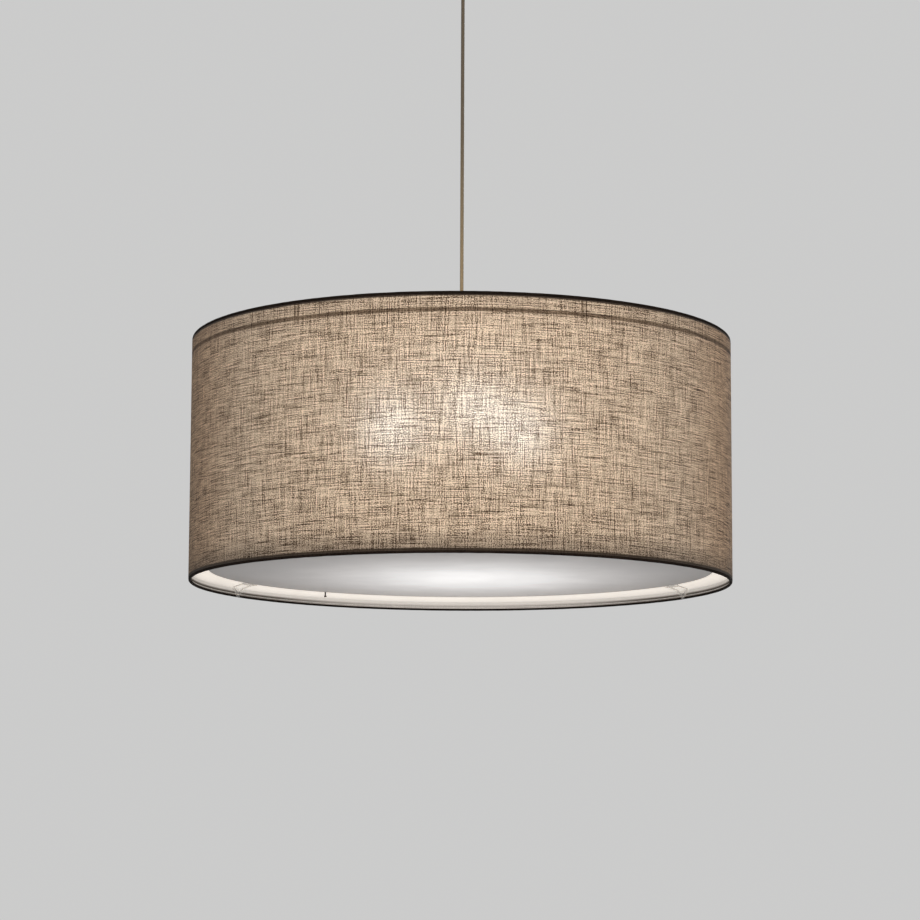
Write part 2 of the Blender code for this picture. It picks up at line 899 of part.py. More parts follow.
def make_top_clips():
    """Two-pronged clips that hang the shade's rim on the frame ring."""
    hook = roll_radius + clip_gap + clip_thickness / 2
    grip = ring_wire_diameter / 2 + clip_gap + clip_thickness / 2
    rim_centre = (rim_radius, shade_top - roll_radius)
    ring_centre = (frame_ring_radius, ring_level)
    path = arc(rim_centre, hook, clip_hook_angle, 180.0, hook_steps)
    path += arc(ring_centre, grip, grip_start_angle, grip_end_angle, grip_steps)
    slot_top = shade_top + overrun
    slot_foot = ring_level + grip
    size = (2 * grip + 2 * hook, top_clip_slot, slot_top - slot_foot)
    place = (frame_ring_radius, 0.0, (slot_top + slot_foot) / 2)
    for i in range(top_clips):
        name = f"top_clip_{i + 1}"
        turn = heading(top_clip_azimuth + i * 360.0 / top_clips)
        clip = band_plate(name, path, clip_thickness, top_clip_width, "clear_plastic")
        clip.rotation_euler.z = turn
        slot = cutter(f"{name}_slot", box_mesh("clip_slot", size, place))
        slot.rotation_euler.z = turn
        combine(clip, slot, "DIFFERENCE")


def make_bottom_clips():
    """Two-pronged clips on the bottom rim that carry the diffuser's edge."""
    hook = roll_radius + clip_gap + clip_thickness / 2
    rim_level = shade_bottom + roll_radius
    shelf_level = diffuser_bottom - gap - clip_thickness / 2
    stop_radius = diffuser_radius + gap + clip_thickness / 2
    stop_top = diffuser_bottom + diffuser_thickness + stop_rise
    riser_top = shelf_level - clip_bridge
    path = arc((rim_radius, rim_level), hook, -clip_hook_angle, -180.0, hook_steps)
    path.append((rim_radius - hook, riser_top))
    path.append((stop_radius + clip_bridge, shelf_level))
    path.append((stop_radius, shelf_level + clip_bridge))
    path.append((stop_radius, stop_top))
    shelf_start = stop_radius + clip_bridge + clip_thickness / 2
    shelf_path = [(shelf_start, shelf_level), (diffuser_radius - shelf_reach, shelf_level)]
    shelf_width = bottom_clip_width - clip_thickness
    half = bottom_clip_width / 2
    slot_half = half - bottom_clip_prong
    stem_half = bottom_clip_stem / 2
    crotch = rim_level + bottom_clip_fork
    stem_top = rim_level + bottom_clip_stem_rise
    fork_top = riser_top - clip_thickness
    slope = (fork_top - crotch) / (slot_half - stem_half)
    reach = half + overrun
    shoulder = stem_top + slope * (reach - stem_half)
    slot_inner = shelf_start + clip_thickness
    slot_outer = rim_radius - hook + clip_thickness
    slot_top = shelf_level + clip_thickness
    slot_outline = [
        (-slot_half, slot_top),
        (-slot_half, fork_top),
        (-stem_half, crotch),
        (stem_half, crotch),
        (slot_half, fork_top),
        (slot_half, slot_top),
    ]
    foot = shade_bottom - overrun
    side_outline = [
        (stem_half, foot),
        (stem_half, stem_top),
        (reach, shoulder),
        (reach, foot),
    ]
    for i in range(bottom_clips):
        name = f"bottom_clip_{i + 1}"
        turn = heading(bottom_clip_azimuth + i * 360.0 / bottom_clips)
        clip = band_plate(name, path, clip_thickness, bottom_clip_width, "clear_plastic")
        clip.rotation_euler.z = turn
        shelf = band_plate(
            f"{name}_shelf", shelf_path, clip_thickness, shelf_width, None, cutters
        )
        shelf.hide_render = True
        shelf.display_type = "WIRE"
        shelf.rotation_euler.z = turn
        combine(clip, shelf, "UNION")
        cuts = {
            "slot": prism_mesh("clip_slot", slot_outline, slot_inner, slot_outer - slot_inner)
        }
        for side in (-1, 1):
            outline = [(side * across, height) for across, height in side_outline]
            cuts[f"side_{side}"] = prism_mesh("clip_side", outline, rim_radius - 2 * hook, 3 * hook)
        for label, mesh in cuts.items():
            cut = cutter(f"{name}_{label}", mesh)
            cut.rotation_euler.z = turn
            combine(clip, cut, "DIFFERENCE")


def make_diffuser():
    """An opal disc that rests on the bottom clips, with a small peg under its edge."""
    top = diffuser_bottom + diffuser_thickness
    disc = [
        (0.0, top),
        (diffuser_radius - diffuser_edge, top),
        (diffuser_radius, top - diffuser_edge),
        (diffuser_radius, diffuser_bottom + diffuser_edge),
        (diffuser_radius - diffuser_edge, diffuser_bottom),
        (0.0, diffuser_bottom),
    ]
    turned("diffuser_disc", disc, drum_facets, "opal_acrylic", closed=False)
    high = polar(diffuser_radius - peg_inset, peg_azimuth, diffuser_bottom - gap)
    low = high - Vector((0.0, 0.0, peg_length))
    rod("diffuser_peg", low, high, peg_diameter / 2, small_facets, "dark_pin")


def main():
    clear_scene()
    make_materials()
    bracket = make_bracket()
    canopy = make_canopy()
    make_canopy_screws(bracket, canopy)
    block_level = make_terminal_block()
    make_cord_grip()
    make_cords(block_level)
    make_spider()
    make_stem()
    frames = holder_pose()
    make_hub(frames)
    for number, frame in enumerate(frames, start=1):
        make_light(number, frame)
    make_shade()
    make_top_clips()
    make_bottom_clips()
    make_diffuser()


main()
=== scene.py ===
import math

import bmesh
import bpy
from mathutils import Matrix, Vector, noise


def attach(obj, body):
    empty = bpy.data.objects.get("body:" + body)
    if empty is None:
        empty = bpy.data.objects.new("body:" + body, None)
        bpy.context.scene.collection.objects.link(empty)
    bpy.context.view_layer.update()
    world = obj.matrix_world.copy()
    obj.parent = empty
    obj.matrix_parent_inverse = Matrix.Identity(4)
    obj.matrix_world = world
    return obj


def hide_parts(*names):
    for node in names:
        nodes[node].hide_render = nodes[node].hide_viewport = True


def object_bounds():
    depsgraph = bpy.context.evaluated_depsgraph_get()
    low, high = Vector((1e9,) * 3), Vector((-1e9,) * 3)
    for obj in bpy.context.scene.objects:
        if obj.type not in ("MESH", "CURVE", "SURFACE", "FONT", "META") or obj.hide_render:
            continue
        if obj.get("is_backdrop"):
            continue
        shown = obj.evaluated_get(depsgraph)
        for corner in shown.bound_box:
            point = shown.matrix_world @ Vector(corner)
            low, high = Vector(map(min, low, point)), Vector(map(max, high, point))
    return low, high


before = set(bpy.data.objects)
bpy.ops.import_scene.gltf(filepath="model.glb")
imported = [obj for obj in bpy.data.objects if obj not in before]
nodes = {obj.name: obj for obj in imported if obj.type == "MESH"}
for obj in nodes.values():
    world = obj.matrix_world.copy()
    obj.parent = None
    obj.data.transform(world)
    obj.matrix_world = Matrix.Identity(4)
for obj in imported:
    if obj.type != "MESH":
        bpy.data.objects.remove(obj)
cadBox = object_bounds()
scene = bpy.context.scene
print("frame loaded,", len(nodes), "nodes")


def newObject(name, data):
    obj = bpy.data.objects.new(name, data)
    scene.collection.objects.link(obj)
    return obj


# camera and cords

# the lamp hangs a quarter of a degree off level in the picture
cameraPose = {"place": (-0.0011, -3.627, -1.158), "pitch": 8.34, "roll": 0.25, "lens": 124.8, "sensor": 36.0}

cameraData = bpy.data.cameras.new("viewCamera")
cameraData.lens = cameraPose["lens"]
cameraData.sensor_width = cameraPose["sensor"]
viewCamera = newObject("viewCamera", cameraData)
viewCamera.location = cameraPose["place"]
rise = Matrix.Rotation(math.radians(90.0 + cameraPose["pitch"]), 3, "X")
roll = Matrix.Rotation(math.radians(cameraPose["roll"]), 3, "Z")
viewCamera.rotation_euler = (rise @ roll).to_euler()
scene.camera = viewCamera

cordSizes = {
    "top": -0.0528, "bottom": -0.51125, "glandTop": -0.48315, "diameter": 0.0042, "points": 39,
    "roundness": 6, "merge": 0.00001, "tailStart": -0.03415, "tailBend": -0.0285, "tailLead": 0.003,
    "tailReach": 0.0137, "tailLevel": -0.0088, "tailSteps": 16,
}


def cordTube(name, points, body, node):
    # a bevelled line made into one closed tube
    curve = bpy.data.curves.new(name, "CURVE")
    curve.dimensions = "3D"
    curve.bevel_depth = cordSizes["diameter"] / 2
    curve.bevel_resolution = cordSizes["roundness"]
    curve.use_fill_caps = True
    spline = curve.splines.new("POLY")
    spline.points.add(len(points) - 1)
    for point, place in zip(spline.points, points):
        point.co = (*place, 1.0)
    spline.use_smooth = True
    line = newObject(name + "Line", curve)
    shape = bpy.data.meshes.new_from_object(line.evaluated_get(bpy.context.evaluated_depsgraph_get()))
    bpy.data.objects.remove(line)
    tube = bmesh.new()
    tube.from_mesh(shape)
    bmesh.ops.remove_doubles(tube, verts=tube.verts, dist=cordSizes["merge"])
    bmesh.ops.recalc_face_normals(tube, faces=tube.faces)
    tube.to_mesh(shape)
    tube.free()
    shape.shade_smooth()
    obj = newObject(name, shape)
    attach(obj, body)
    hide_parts(node)
    return obj


cordLength = cordSizes["top"] - cordSizes["bottom"]
cordStep = cordLength / (cordSizes["points"] - 1)
mainPath = [(0.0, 0.0, cordSizes["top"] - cordStep * i) for i in range(cordSizes["points"])]
mainCord = cordTube("braidedCord", mainPath, "cord", "suspension_cord")

# the cord's end inside the cup turns from upright to level
tailRise = cordSizes["tailLevel"] - cordSizes["tailBend"]
tailLead = cordSizes["tailBend"] - cordSizes["tailLead"]
tailPoints = [(0.0, 0.0, cordSizes["tailStart"]), (0.0, 0.0, tailLead)]
for i in range(cordSizes["tailSteps"] + 1):
    turn = math.radians(90.0) * i / cordSizes["tailSteps"]
    reach = cordSizes["tailReach"] * (1 - math.cos(turn))
    tailPoints.append((reach, 0.0, cordSizes["tailBend"] + tailRise * math.sin(turn)))
tailCord = cordTube("cordTail", tailPoints, "ceiling_rose", "cord_tail")
print("camera and cords made")

# small tools for meshes


def heading(azimuth):
    # azimuth 0 faces the viewer, positive to the right
    return math.radians(azimuth - 90.0)


def polar(radius, azimuth, level):
    angle = heading(azimuth)
    return Vector((radius * math.cos(angle), radius * math.sin(angle), level))


def upBy(length):
    return Vector((0.0, 0.0, length))


def arcPoints(centre, radius, first, last, steps):
    points = []
    for i in range(steps + 1):
        angle = math.radians(first + (last - first) * i / steps)
        points.append((centre[0] + radius * math.cos(angle), centre[1] + radius * math.sin(angle)))
    return points


def ringPoints(outer, inner, top, bottom):
    return [(outer, top), (outer, bottom), (inner, bottom), (inner, top)]


def threadPoints(radius, depth, top, bottom, pitch):
    count = max(2, round(abs(bottom - top) / pitch))
    step = (bottom - top) / count
    points = []
    for i in range(count):
        points.append((radius, top + step * i))
        points.append((radius - depth, top + step * (i + 0.5)))
    points.append((radius, bottom))
    return points


def spinProfile(profile, steps, closed=True, merge=0.000002):
    # a profile of (radius, height) points turned about Z
    bm = bmesh.new()
    verts = [bm.verts.new((radius, 0.0, height)) for radius, height in profile]
    edges = [bm.edges.new(pair) for pair in zip(verts, verts[1:])]
    if closed:
        edges.append(bm.edges.new((verts[-1], verts[0])))
    bmesh.ops.spin(
        bm, geom=verts + edges, cent=(0, 0, 0), axis=(0, 0, 1), angle=math.tau, steps=steps, use_merge=True
    )
    bmesh.ops.remove_doubles(bm, verts=bm.verts, dist=merge)
    bmesh.ops.recalc_face_normals(bm, faces=bm.faces)
    return bm


def softenEdges(bm, width, segments=2, angle=28.0):
    sharp = [e for e in bm.edges if e.is_manifold and e.calc_face_angle() > math.radians(angle)]
    bmesh.ops.bevel(
        bm, geom=sharp, offset=width, offset_type="OFFSET", affect="EDGES", segments=segments,
        profile=0.5, material=-1, clamp_overlap=True,
    )
    return bm


def moveMesh(bm, matrix):
    bmesh.ops.transform(bm, matrix=matrix, verts=bm.verts)
    return bm


def addMesh(bm, other):
    # pours one bmesh into another, so that both become one piece
    mesh = bpy.data.meshes.new("poured")
    other.to_mesh(mesh)
    other.free()
    bm.from_mesh(mesh)
    bpy.data.meshes.remove(mesh)


def rodMesh(start, end, radius, segments):
    along = end - start
    bm = bmesh.new()
    bmesh.ops.create_cone(
        bm, cap_ends=True, segments=segments, radius1=radius, radius2=radius, depth=along.length
    )
    turn = along.to_track_quat("Z", "Y").to_matrix().to_4x4()
    return moveMesh(bm, Matrix.Translation((start + end) / 2) @ turn)


def boxMesh(size, middle):
    bm = bmesh.new()
    bmesh.ops.create_cube(bm, size=1.0, matrix=Matrix.Translation(middle) @ Matrix.Diagonal((*size, 1.0)))
    return bm


def keepPiece(name, bm, material, replaced="", body="lamp", crease=32.0):
    mesh = bpy.data.meshes.new(name)
    bm.to_mesh(mesh)
    bm.free()
    mesh.shade_smooth()
    mesh.set_sharp_from_angle(angle=math.radians(crease))
    mesh.materials.append(material)
    obj = newObject(name, mesh)
    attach(obj, body)
    if replaced:
        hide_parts(replaced)


def turnedPiece(name, profile, steps, material, replaced, soft=(), closed=True, place=None, **others):
    # soft is the width, segments and least angle of the rounded edges
    bm = spinProfile(profile, steps, closed)
    if soft:
        softenEdges(bm, *soft)
    if place:
        moveMesh(bm, place)
    keepPiece(name, bm, material, replaced, **others)


# small tools for materials: a node joins the tree that its inputs come from


def feed(socket, value):
    # a link from another node, or a plain value
    if isinstance(value, bpy.types.NodeSocket):
        socket.id_data.links.new(value, socket)
    elif socket.type == "RGBA":
        socket.default_value = (*value, 1.0)
    else:
        socket.default_value = value


def addNode(kind, inputs, tree=None, **settings):
    # without a tree, the new node joins the one that its first linked input comes from
    linked = [value for value in inputs.values() if isinstance(value, bpy.types.NodeSocket)]
    node = (tree or linked[0].id_data).nodes.new(kind)
    for key, value in settings.items():
        setattr(node, key, value)
    for key, value in inputs.items():
        feed(node.inputs[key], value)
    return node


def calc(operation, a, b=0.0, clamp=False):
    return addNode("ShaderNodeMath", {0: a, 1: b}, operation=operation, use_clamp=clamp).outputs[0]


def times(value, *others):
    for other in others:
        value = calc("MULTIPLY", value, other)
    return value


def plus(value, *others):
    for other in others:
        value = calc("ADD", value, other)
    return value


def minus(a, b):
    return calc("SUBTRACT", a, b)


def bellCurve(square):
    # 1 where the square of a distance is nothing, falling softly to 0
    return calc("EXPONENT", times(square, -1.0))


def remap(value, low, high, toLow=0.0, toHigh=1.0, kind="SMOOTHSTEP"):
    node = addNode(
        "ShaderNodeMapRange",
        {"Value": value, "From Min": low, "From Max": high, "To Min": toLow, "To Max": toHigh},
        interpolation_type=kind,
    )
    return node.outputs["Result"]


def mixColours(factor, a, b, blend="MIX"):
    node = addNode("ShaderNodeMix", {0: factor, 6: a, 7: b}, data_type="RGBA", blend_type=blend)
    return node.outputs[2]


def ramp(value, stops):
    node = addNode("ShaderNodeValToRGB", {"Fac": value})
    elements = node.color_ramp.elements
    while len(elements) < len(stops):
        elements.new(0.5)
    for element, (place, colour) in zip(elements, stops):
        element.position = place
        element.color = (*colour, 1.0)
    return node.outputs["Color"]


def noiseAt(vector, scale=1.0, detail=2.0, rough=0.5, dimensions="3D"):
    node = addNode(
        "ShaderNodeTexNoise",
        {"Vector": vector, "Scale": scale, "Detail": detail, "Roughness": rough},
        noise_dimensions=dimensions,
    )
    return node.outputs["Fac"]


def objectPoint(tree):
    return addNode("ShaderNodeTexCoord", {}, tree).outputs["Object"]


def objectAxes(tree):
    return addNode("ShaderNodeSeparateXYZ", {0: objectPoint(tree)}).outputs


def joined(x, y, z=0.0, tree=None):
    return addNode("ShaderNodeCombineXYZ", {"X": x, "Y": y, "Z": z}, tree).outputs[0]


def stretched(vector, x, y, z=1.0):
    factors = joined(x, y, z, vector.id_data)
    return addNode("ShaderNodeVectorMath", {0: vector, 1: factors}, operation="MULTIPLY").outputs[0]


def azimuthOf(axes):
    return calc("ARCTAN2", axes["X"], times(axes["Y"], -1.0))


def flatReach(axes):
    # distance from the upright axis
    flat = joined(axes["X"], axes["Y"])
    return addNode("ShaderNodeVectorMath", {0: flat}, operation="LENGTH").outputs["Value"]


def newGroup(name, inputs, outputs):
    tree = bpy.data.node_groups.new(name, "ShaderNodeTree")
    for label, start in inputs.items():
        socket = tree.interface.new_socket(name=label, in_out="INPUT", socket_type="NodeSocketFloat")
        socket.default_value = start
    for label in outputs:
        tree.interface.new_socket(name=label, in_out="OUTPUT", socket_type="NodeSocketFloat")
    return tree, tree.nodes.new("NodeGroupInput").outputs, tree.nodes.new("NodeGroupOutput").inputs


def useGroup(tree, group, **values):
    node = tree.nodes.new("ShaderNodeGroup")
    node.node_tree = group
    for label, value in values.items():
        node.inputs[label].default_value = value
    return node.outputs


effectLook = {
    # scale where the group doesn't ask for it, detail and roughness of each noise
    "grime": (5.0, 0.62), "grain": (3.0, 0.6), "lines": (1.0, 3.0, 0.6), "fibres": (1.0, 2.0, 0.6),
    "dirty": (0.42, 0.72), "lineTone": (0.3, 0.7), "strandTone": (-0.6, 1.0, 0.15, 0.8),
    "fibreStretch": (2600.0, 2600.0, 420.0), "fibreTone": 0.3, "fibreHeight": 0.5,
}

# grime: soft uneven patches, 0 clean to 1 dusty
grime, groupIn, groupOut = newGroup("grime", {"Scale": 40.0, "Amount": 0.5}, ["Mask"])
patches = noiseAt(objectPoint(grime), groupIn["Scale"], *effectLook["grime"])
feed(groupOut["Mask"], times(remap(patches, *effectLook["dirty"]), groupIn["Amount"]))

# grain: the fine skin of moulded plastic or lacquer
grain, groupIn, groupOut = newGroup("grain", {"Scale": 900.0}, ["Height"])
feed(groupOut["Height"], noiseAt(objectPoint(grain), groupIn["Scale"], *effectLook["grain"]))

# brushed: drawn lines along Z or round it on wire and sheet metal
brushed, groupIn, groupOut = newGroup("brushed", {"Across": 1800.0, "Along": 60.0}, ["Tone", "Height"])
drawn = stretched(objectPoint(brushed), groupIn["Across"], groupIn["Across"], groupIn["Along"])
lines = noiseAt(drawn, *effectLook["lines"])
feed(groupOut["Tone"], remap(lines, *effectLook["lineTone"]))
feed(groupOut["Height"], lines)

# linen: two crossing sets of uneven threads wrapped round a drum
weaveLook = {
    # noise cells to one pitch along and up the cloth, shift, detail, roughness
    "warp": ((1.0, 0.034), (0.0, 0.0), 2.0, 0.6), "weft": ((0.036, 1.45), (3.7, 1.3), 2.0, 0.6),
    "warpSlub": ((0.86, 0.030), (7.1, 5.9), 1.0, 0.5), "weftSlub": ((0.017, 0.86), (2.3, 9.4), 1.0, 0.5),
    "warpWander": ((0.37, 0.0), (0.0, 0.0), 1.0, 0.6), "weftWander": ((0.0, 0.37), (0.0, 0.0), 1.0, 0.6),
    "flecks": ((1.0, 1.0), (0.0, 0.0), 1.0, 0.6), "clouds": (30.0, 2.0, 0.5), "warpShift": 0.16,
    "weftShift": 0.20, "warpShare": 0.78, "weftShare": 0.98, "darkWarp": (0.61, 0.70, 0.0, 0.85),
    "darkWeft": (0.60, 0.69, 0.0, 0.95), "lightSlub": (0.40, 0.28), "crossings": 2.2,
    # the middle and the strength of each part
    "tone": {
        "threads": (0.88, 3.50), "darkSlub": (0.0, -0.68), "lightSlub": (0.0, 0.14),
        "clouds": (0.5, 0.20), "flecks": (0.5, 4.2), "knots": (0.0, 0.07),
    },
    "toneLevel": 0.645,
    "relief": {"threads": (0.0, 1.0), "darkSlub": (0.0, 1.0), "knots": (0.0, 0.25), "flecks": (0.0, 0.4)},
}


def summed(start, shares, parts):
    total = start
    for name, (middle, strength) in shares.items():
        total = plus(total, times(minus(parts[name], middle), strength))
    return total


def makeWeave():
    look = weaveLook
    tree, groupIn, groupOut = newGroup(
        "linen", {"Radius": 0.31, "Pitch": 0.0016, "Slubs": 1.0}, ["Tone", "Height"]
    )
    axes = objectAxes(tree)
    around = times(azimuthOf(axes), groupIn["Radius"])
    upward = axes["Z"]
    fine = calc("DIVIDE", 1.0, groupIn["Pitch"])

    def threadNoise(kind, along, up):
        cells, shift, detail, rough = look[kind]
        place = joined(plus(along, shift[0]), plus(up, shift[1]))
        place = stretched(place, times(fine, cells[0]), times(fine, cells[1]))
        return noiseAt(place, 1.0, detail, rough, "2D")

    # each thread is shifted along itself, so that thick stretches don't line up with their neighbours
    warpUp = plus(upward, times(threadNoise("warpWander", around, upward), look["warpShift"]))
    weftAlong = plus(around, times(threadNoise("weftWander", around, upward), look["weftShift"]))
    warp = threadNoise("warp", around, warpUp)
    weft = threadNoise("weft", weftAlong, upward)
    warpSlub = threadNoise("warpSlub", around, warpUp)
    weftSlub = threadNoise("weftSlub", weftAlong, upward)
    dark = calc("MAXIMUM", remap(warpSlub, *look["darkWarp"]), remap(weftSlub, *look["darkWeft"]))
    light = calc("MAXIMUM", remap(warpSlub, *look["lightSlub"]), remap(weftSlub, *look["lightSlub"]))
    # single threads, one over and one under, with small gaps between them
    crossing = times(fine, look["crossings"] * math.tau)
    over = calc("SINE", times(around, crossing))
    under = calc("SINE", times(upward, crossing))
    parts = {
        "threads": plus(times(warp, look["warpShare"]), times(weft, look["weftShare"])),
        "darkSlub": times(dark, groupIn["Slubs"]),
        "lightSlub": light,
        "clouds": noiseAt(joined(around, upward), *look["clouds"], "2D"),
        "flecks": threadNoise("flecks", around, upward),
        "knots": times(over, under),
    }
    tone = summed(look["toneLevel"], look["tone"], parts)
    feed(groupOut["Tone"], calc("ADD", tone, 0.0, clamp=True))
    feed(groupOut["Height"], summed(0.0, look["relief"], parts))
    return tree


linen = makeWeave()

# braid: two sets of strands that wind round a cord in opposite ways
braid, groupIn, groupOut = newGroup("braid", {"Strands": 8.0, "Turns": 520.0}, ["Tone", "Height"])
axes = objectAxes(braid)
windings = times(calc("ARCTAN2", axes["Y"], axes["X"]), groupIn["Strands"])
climb = times(axes["Z"], groupIn["Turns"])
leftHand = calc("SINE", plus(windings, climb))
rightHand = calc("SINE", minus(windings, climb))
strands = calc("MAXIMUM", leftHand, rightHand)
fibres = noiseAt(stretched(objectPoint(braid), *effectLook["fibreStretch"]), *effectLook["fibres"])
strandTone = remap(strands, *effectLook["strandTone"])
feed(groupOut["Tone"], plus(strandTone, times(fibres, effectLook["fibreTone"])))
feed(groupOut["Height"], plus(strands, times(fibres, effectLook["fibreHeight"])))
print("surface effects made")


def newMaterial(name, values):
    made = bpy.data.materials.new(name)
    made.use_nodes = True
    shader = made.node_tree.nodes["Principled BSDF"].inputs
    for label, value in values.items():
        shader[label].default_value = value
    return made, shader


def dustyColour(made, shader, scale, amount, clean, dusty):
    # the base colour turns to a dusty one in patches
    mask = useGroup(made.node_tree, grime, Scale=scale, Amount=amount)["Mask"]
    feed(shader["Base Color"], mixColours(mask, clean, dusty))
    return mask


def addBump(shader, height, strength, distance):
    bump = addNode("ShaderNodeBump", {"Height": height, "Strength": strength, "Distance": distance})
    feed(shader["Normal"], bump.outputs["Normal"])


def grainBump(made, shader, scale, strength, distance):
    addBump(shader, useGroup(made.node_tree, grain, Scale=scale)["Height"], strength, distance)


def grainyMaterial(name, look):
    made, shader = newMaterial(name, look["surface"])
    mask = dustyColour(made, shader, *look["colours"])
    grainBump(made, shader, *look["grain"])
    return made, shader, mask


def wovenMaterial(name, look, group):
    made, shader = newMaterial(name, look["surface"])
    weave = useGroup(made.node_tree, group, **look["weave"])
    addBump(shader, weave["Height"], *look["bump"])
    return made, shader, weave["Tone"]


def glowWith(shader, power, tint):
    # the strength stays 1 and the colour carries the light
    grey = addNode("ShaderNodeCombineColor", {0: power, 1: power, 2: power}).outputs[0]
    feed(shader["Emission Color"], mixColours(1.0, grey, tint, "MULTIPLY"))
    shader["Emission Strength"].default_value = 1.0


# what the plain and the metal finishes have in common: dust is the scale and amount of its patches
finishLook = {
    "plainDust": (45.0, 0.6), "plainDulling": 0.25, "skin": 0.35, "metalDust": (70.0, 0.7),
    "metalDulling": 0.28, "metalDirt": 0.62, "lineBump": (0.4, 0.00003),
}


def plainFinish(name, clean, dusty, roughness, grainScale, grainDepth, metallic=0.0, coat=0.0):
    # lacquer or plastic that is duller and dustier in patches, with a fine skin
    made, shader = newMaterial(name, {"Metallic": metallic, "Coat Weight": coat})
    mask = dustyColour(made, shader, *finishLook["plainDust"], clean, dusty)
    feed(shader["Roughness"], remap(mask, 0.0, 1.0, roughness, roughness + finishLook["plainDulling"]))
    grainBump(made, shader, grainScale, finishLook["skin"], grainDepth)
    return made


def metalFinish(name, light, dark, roughness, across=1800.0, along=60.0):
    # drawn or turned metal: fine lines in tone and height, with dull patches
    made, shader = newMaterial(name, {"Metallic": 1.0})
    drawnLines = useGroup(made.node_tree, brushed, Across=across, Along=along)
    metal = mixColours(drawnLines["Tone"], dark, light)
    dirt = tuple(value * finishLook["metalDirt"] for value in dark)
    mask = dustyColour(made, shader, *finishLook["metalDust"], metal, dirt)
    feed(shader["Roughness"], remap(mask, 0.0, 1.0, roughness, roughness + finishLook["metalDulling"]))
    addBump(shader, drawnLines["Height"], *finishLook["lineBump"])
    return made


whiteLacquer = plainFinish(
    "whiteLacquer", (0.74, 0.735, 0.715), (0.60, 0.585, 0.55), 0.32, 700.0, 0.00004, coat=0.25
)
whitePlastic = plainFinish("whitePlastic", (0.72, 0.715, 0.69), (0.58, 0.56, 0.52), 0.45, 1500.0, 0.00005)
creamPlastic = plainFinish("creamPlastic", (0.74, 0.70, 0.60), (0.56, 0.51, 0.42), 0.5, 1500.0, 0.00005)
darkPin = plainFinish(
    "darkPin", (0.030, 0.026, 0.022), (0.075, 0.066, 0.055), 0.5, 1500.0, 0.00004, metallic=0.6
)
zincSteel = metalFinish("zincSteel", (0.62, 0.62, 0.60), (0.44, 0.44, 0.43), 0.34)
nickelPlate = metalFinish("nickelPlate", (0.74, 0.72, 0.68), (0.58, 0.56, 0.52), 0.2, 2400.0, 2400.0)
brassSheet = metalFinish("brassSheet", (0.78, 0.60, 0.30), (0.58, 0.42, 0.18), 0.26, 1200.0, 1200.0)
capMetal = metalFinish("capMetal", (0.74, 0.74, 0.75), (0.55, 0.55, 0.56), 0.26, 1500.0, 1500.0)

# braid of the cords

braidLook = {
    "surface": {"Roughness": 0.62, "Sheen Weight": 0.25}, "weave": {"Strands": 8.0, "Turns": 3800.0},
    "colours": [(0.1, (0.045, 0.029, 0.014)), (0.5, (0.155, 0.104, 0.047)), (0.95, (0.31, 0.222, 0.113))],
    "unlit": (0.030, 0.021, 0.013), "fade": (-0.44, -0.20, 0.0, 0.72), "bump": (0.7, 0.0002),
}


def makeCordCloth():
    look = braidLook
    made, shader, tone = wovenMaterial("goldBraid", look, braid)
    # the braid dulls towards the ceiling, where no light reaches it
    fade = remap(objectAxes(made.node_tree)["Z"], *look["fade"])
    colour = ramp(tone, look["colours"])
    feed(shader["Base Color"], mixColours(fade, colour, look["unlit"]))
    return made


goldBraid = makeCordCloth()
for cordPiece in (mainCord, tailCord):
    cordPiece.data.materials.append(goldBraid)
print("shared finishes and braid made")

# shade: cloth, liner, seam and hems

shadeSizes = {
    "radius": 0.310, "cloth": 0.0005, "linerOuter": 0.3092, "linerInner": 0.3087, "top": -0.4939,
    "bottom": -0.7661, "clothTop": -0.4937, "clothBottom": -0.7671, "steps": 288, "rows": 8,
    "seamWidth": 0.009, "seamRise": 0.0004, "seamSoft": (0.00015, 1, 60.0), "rollRadius": 0.0018,
    "rollTurn": (0.0, -337.5, 15), "rimRadius": 0.3082, "topRim": -0.4918, "bottomRim": -0.7682,
    "legOuter": 0.3084, "legInner": 0.30805, "legStart": 0.0026, "legLength": 0.0063, "unevenness": 0.00016,
    "lumps": 130.0,
}

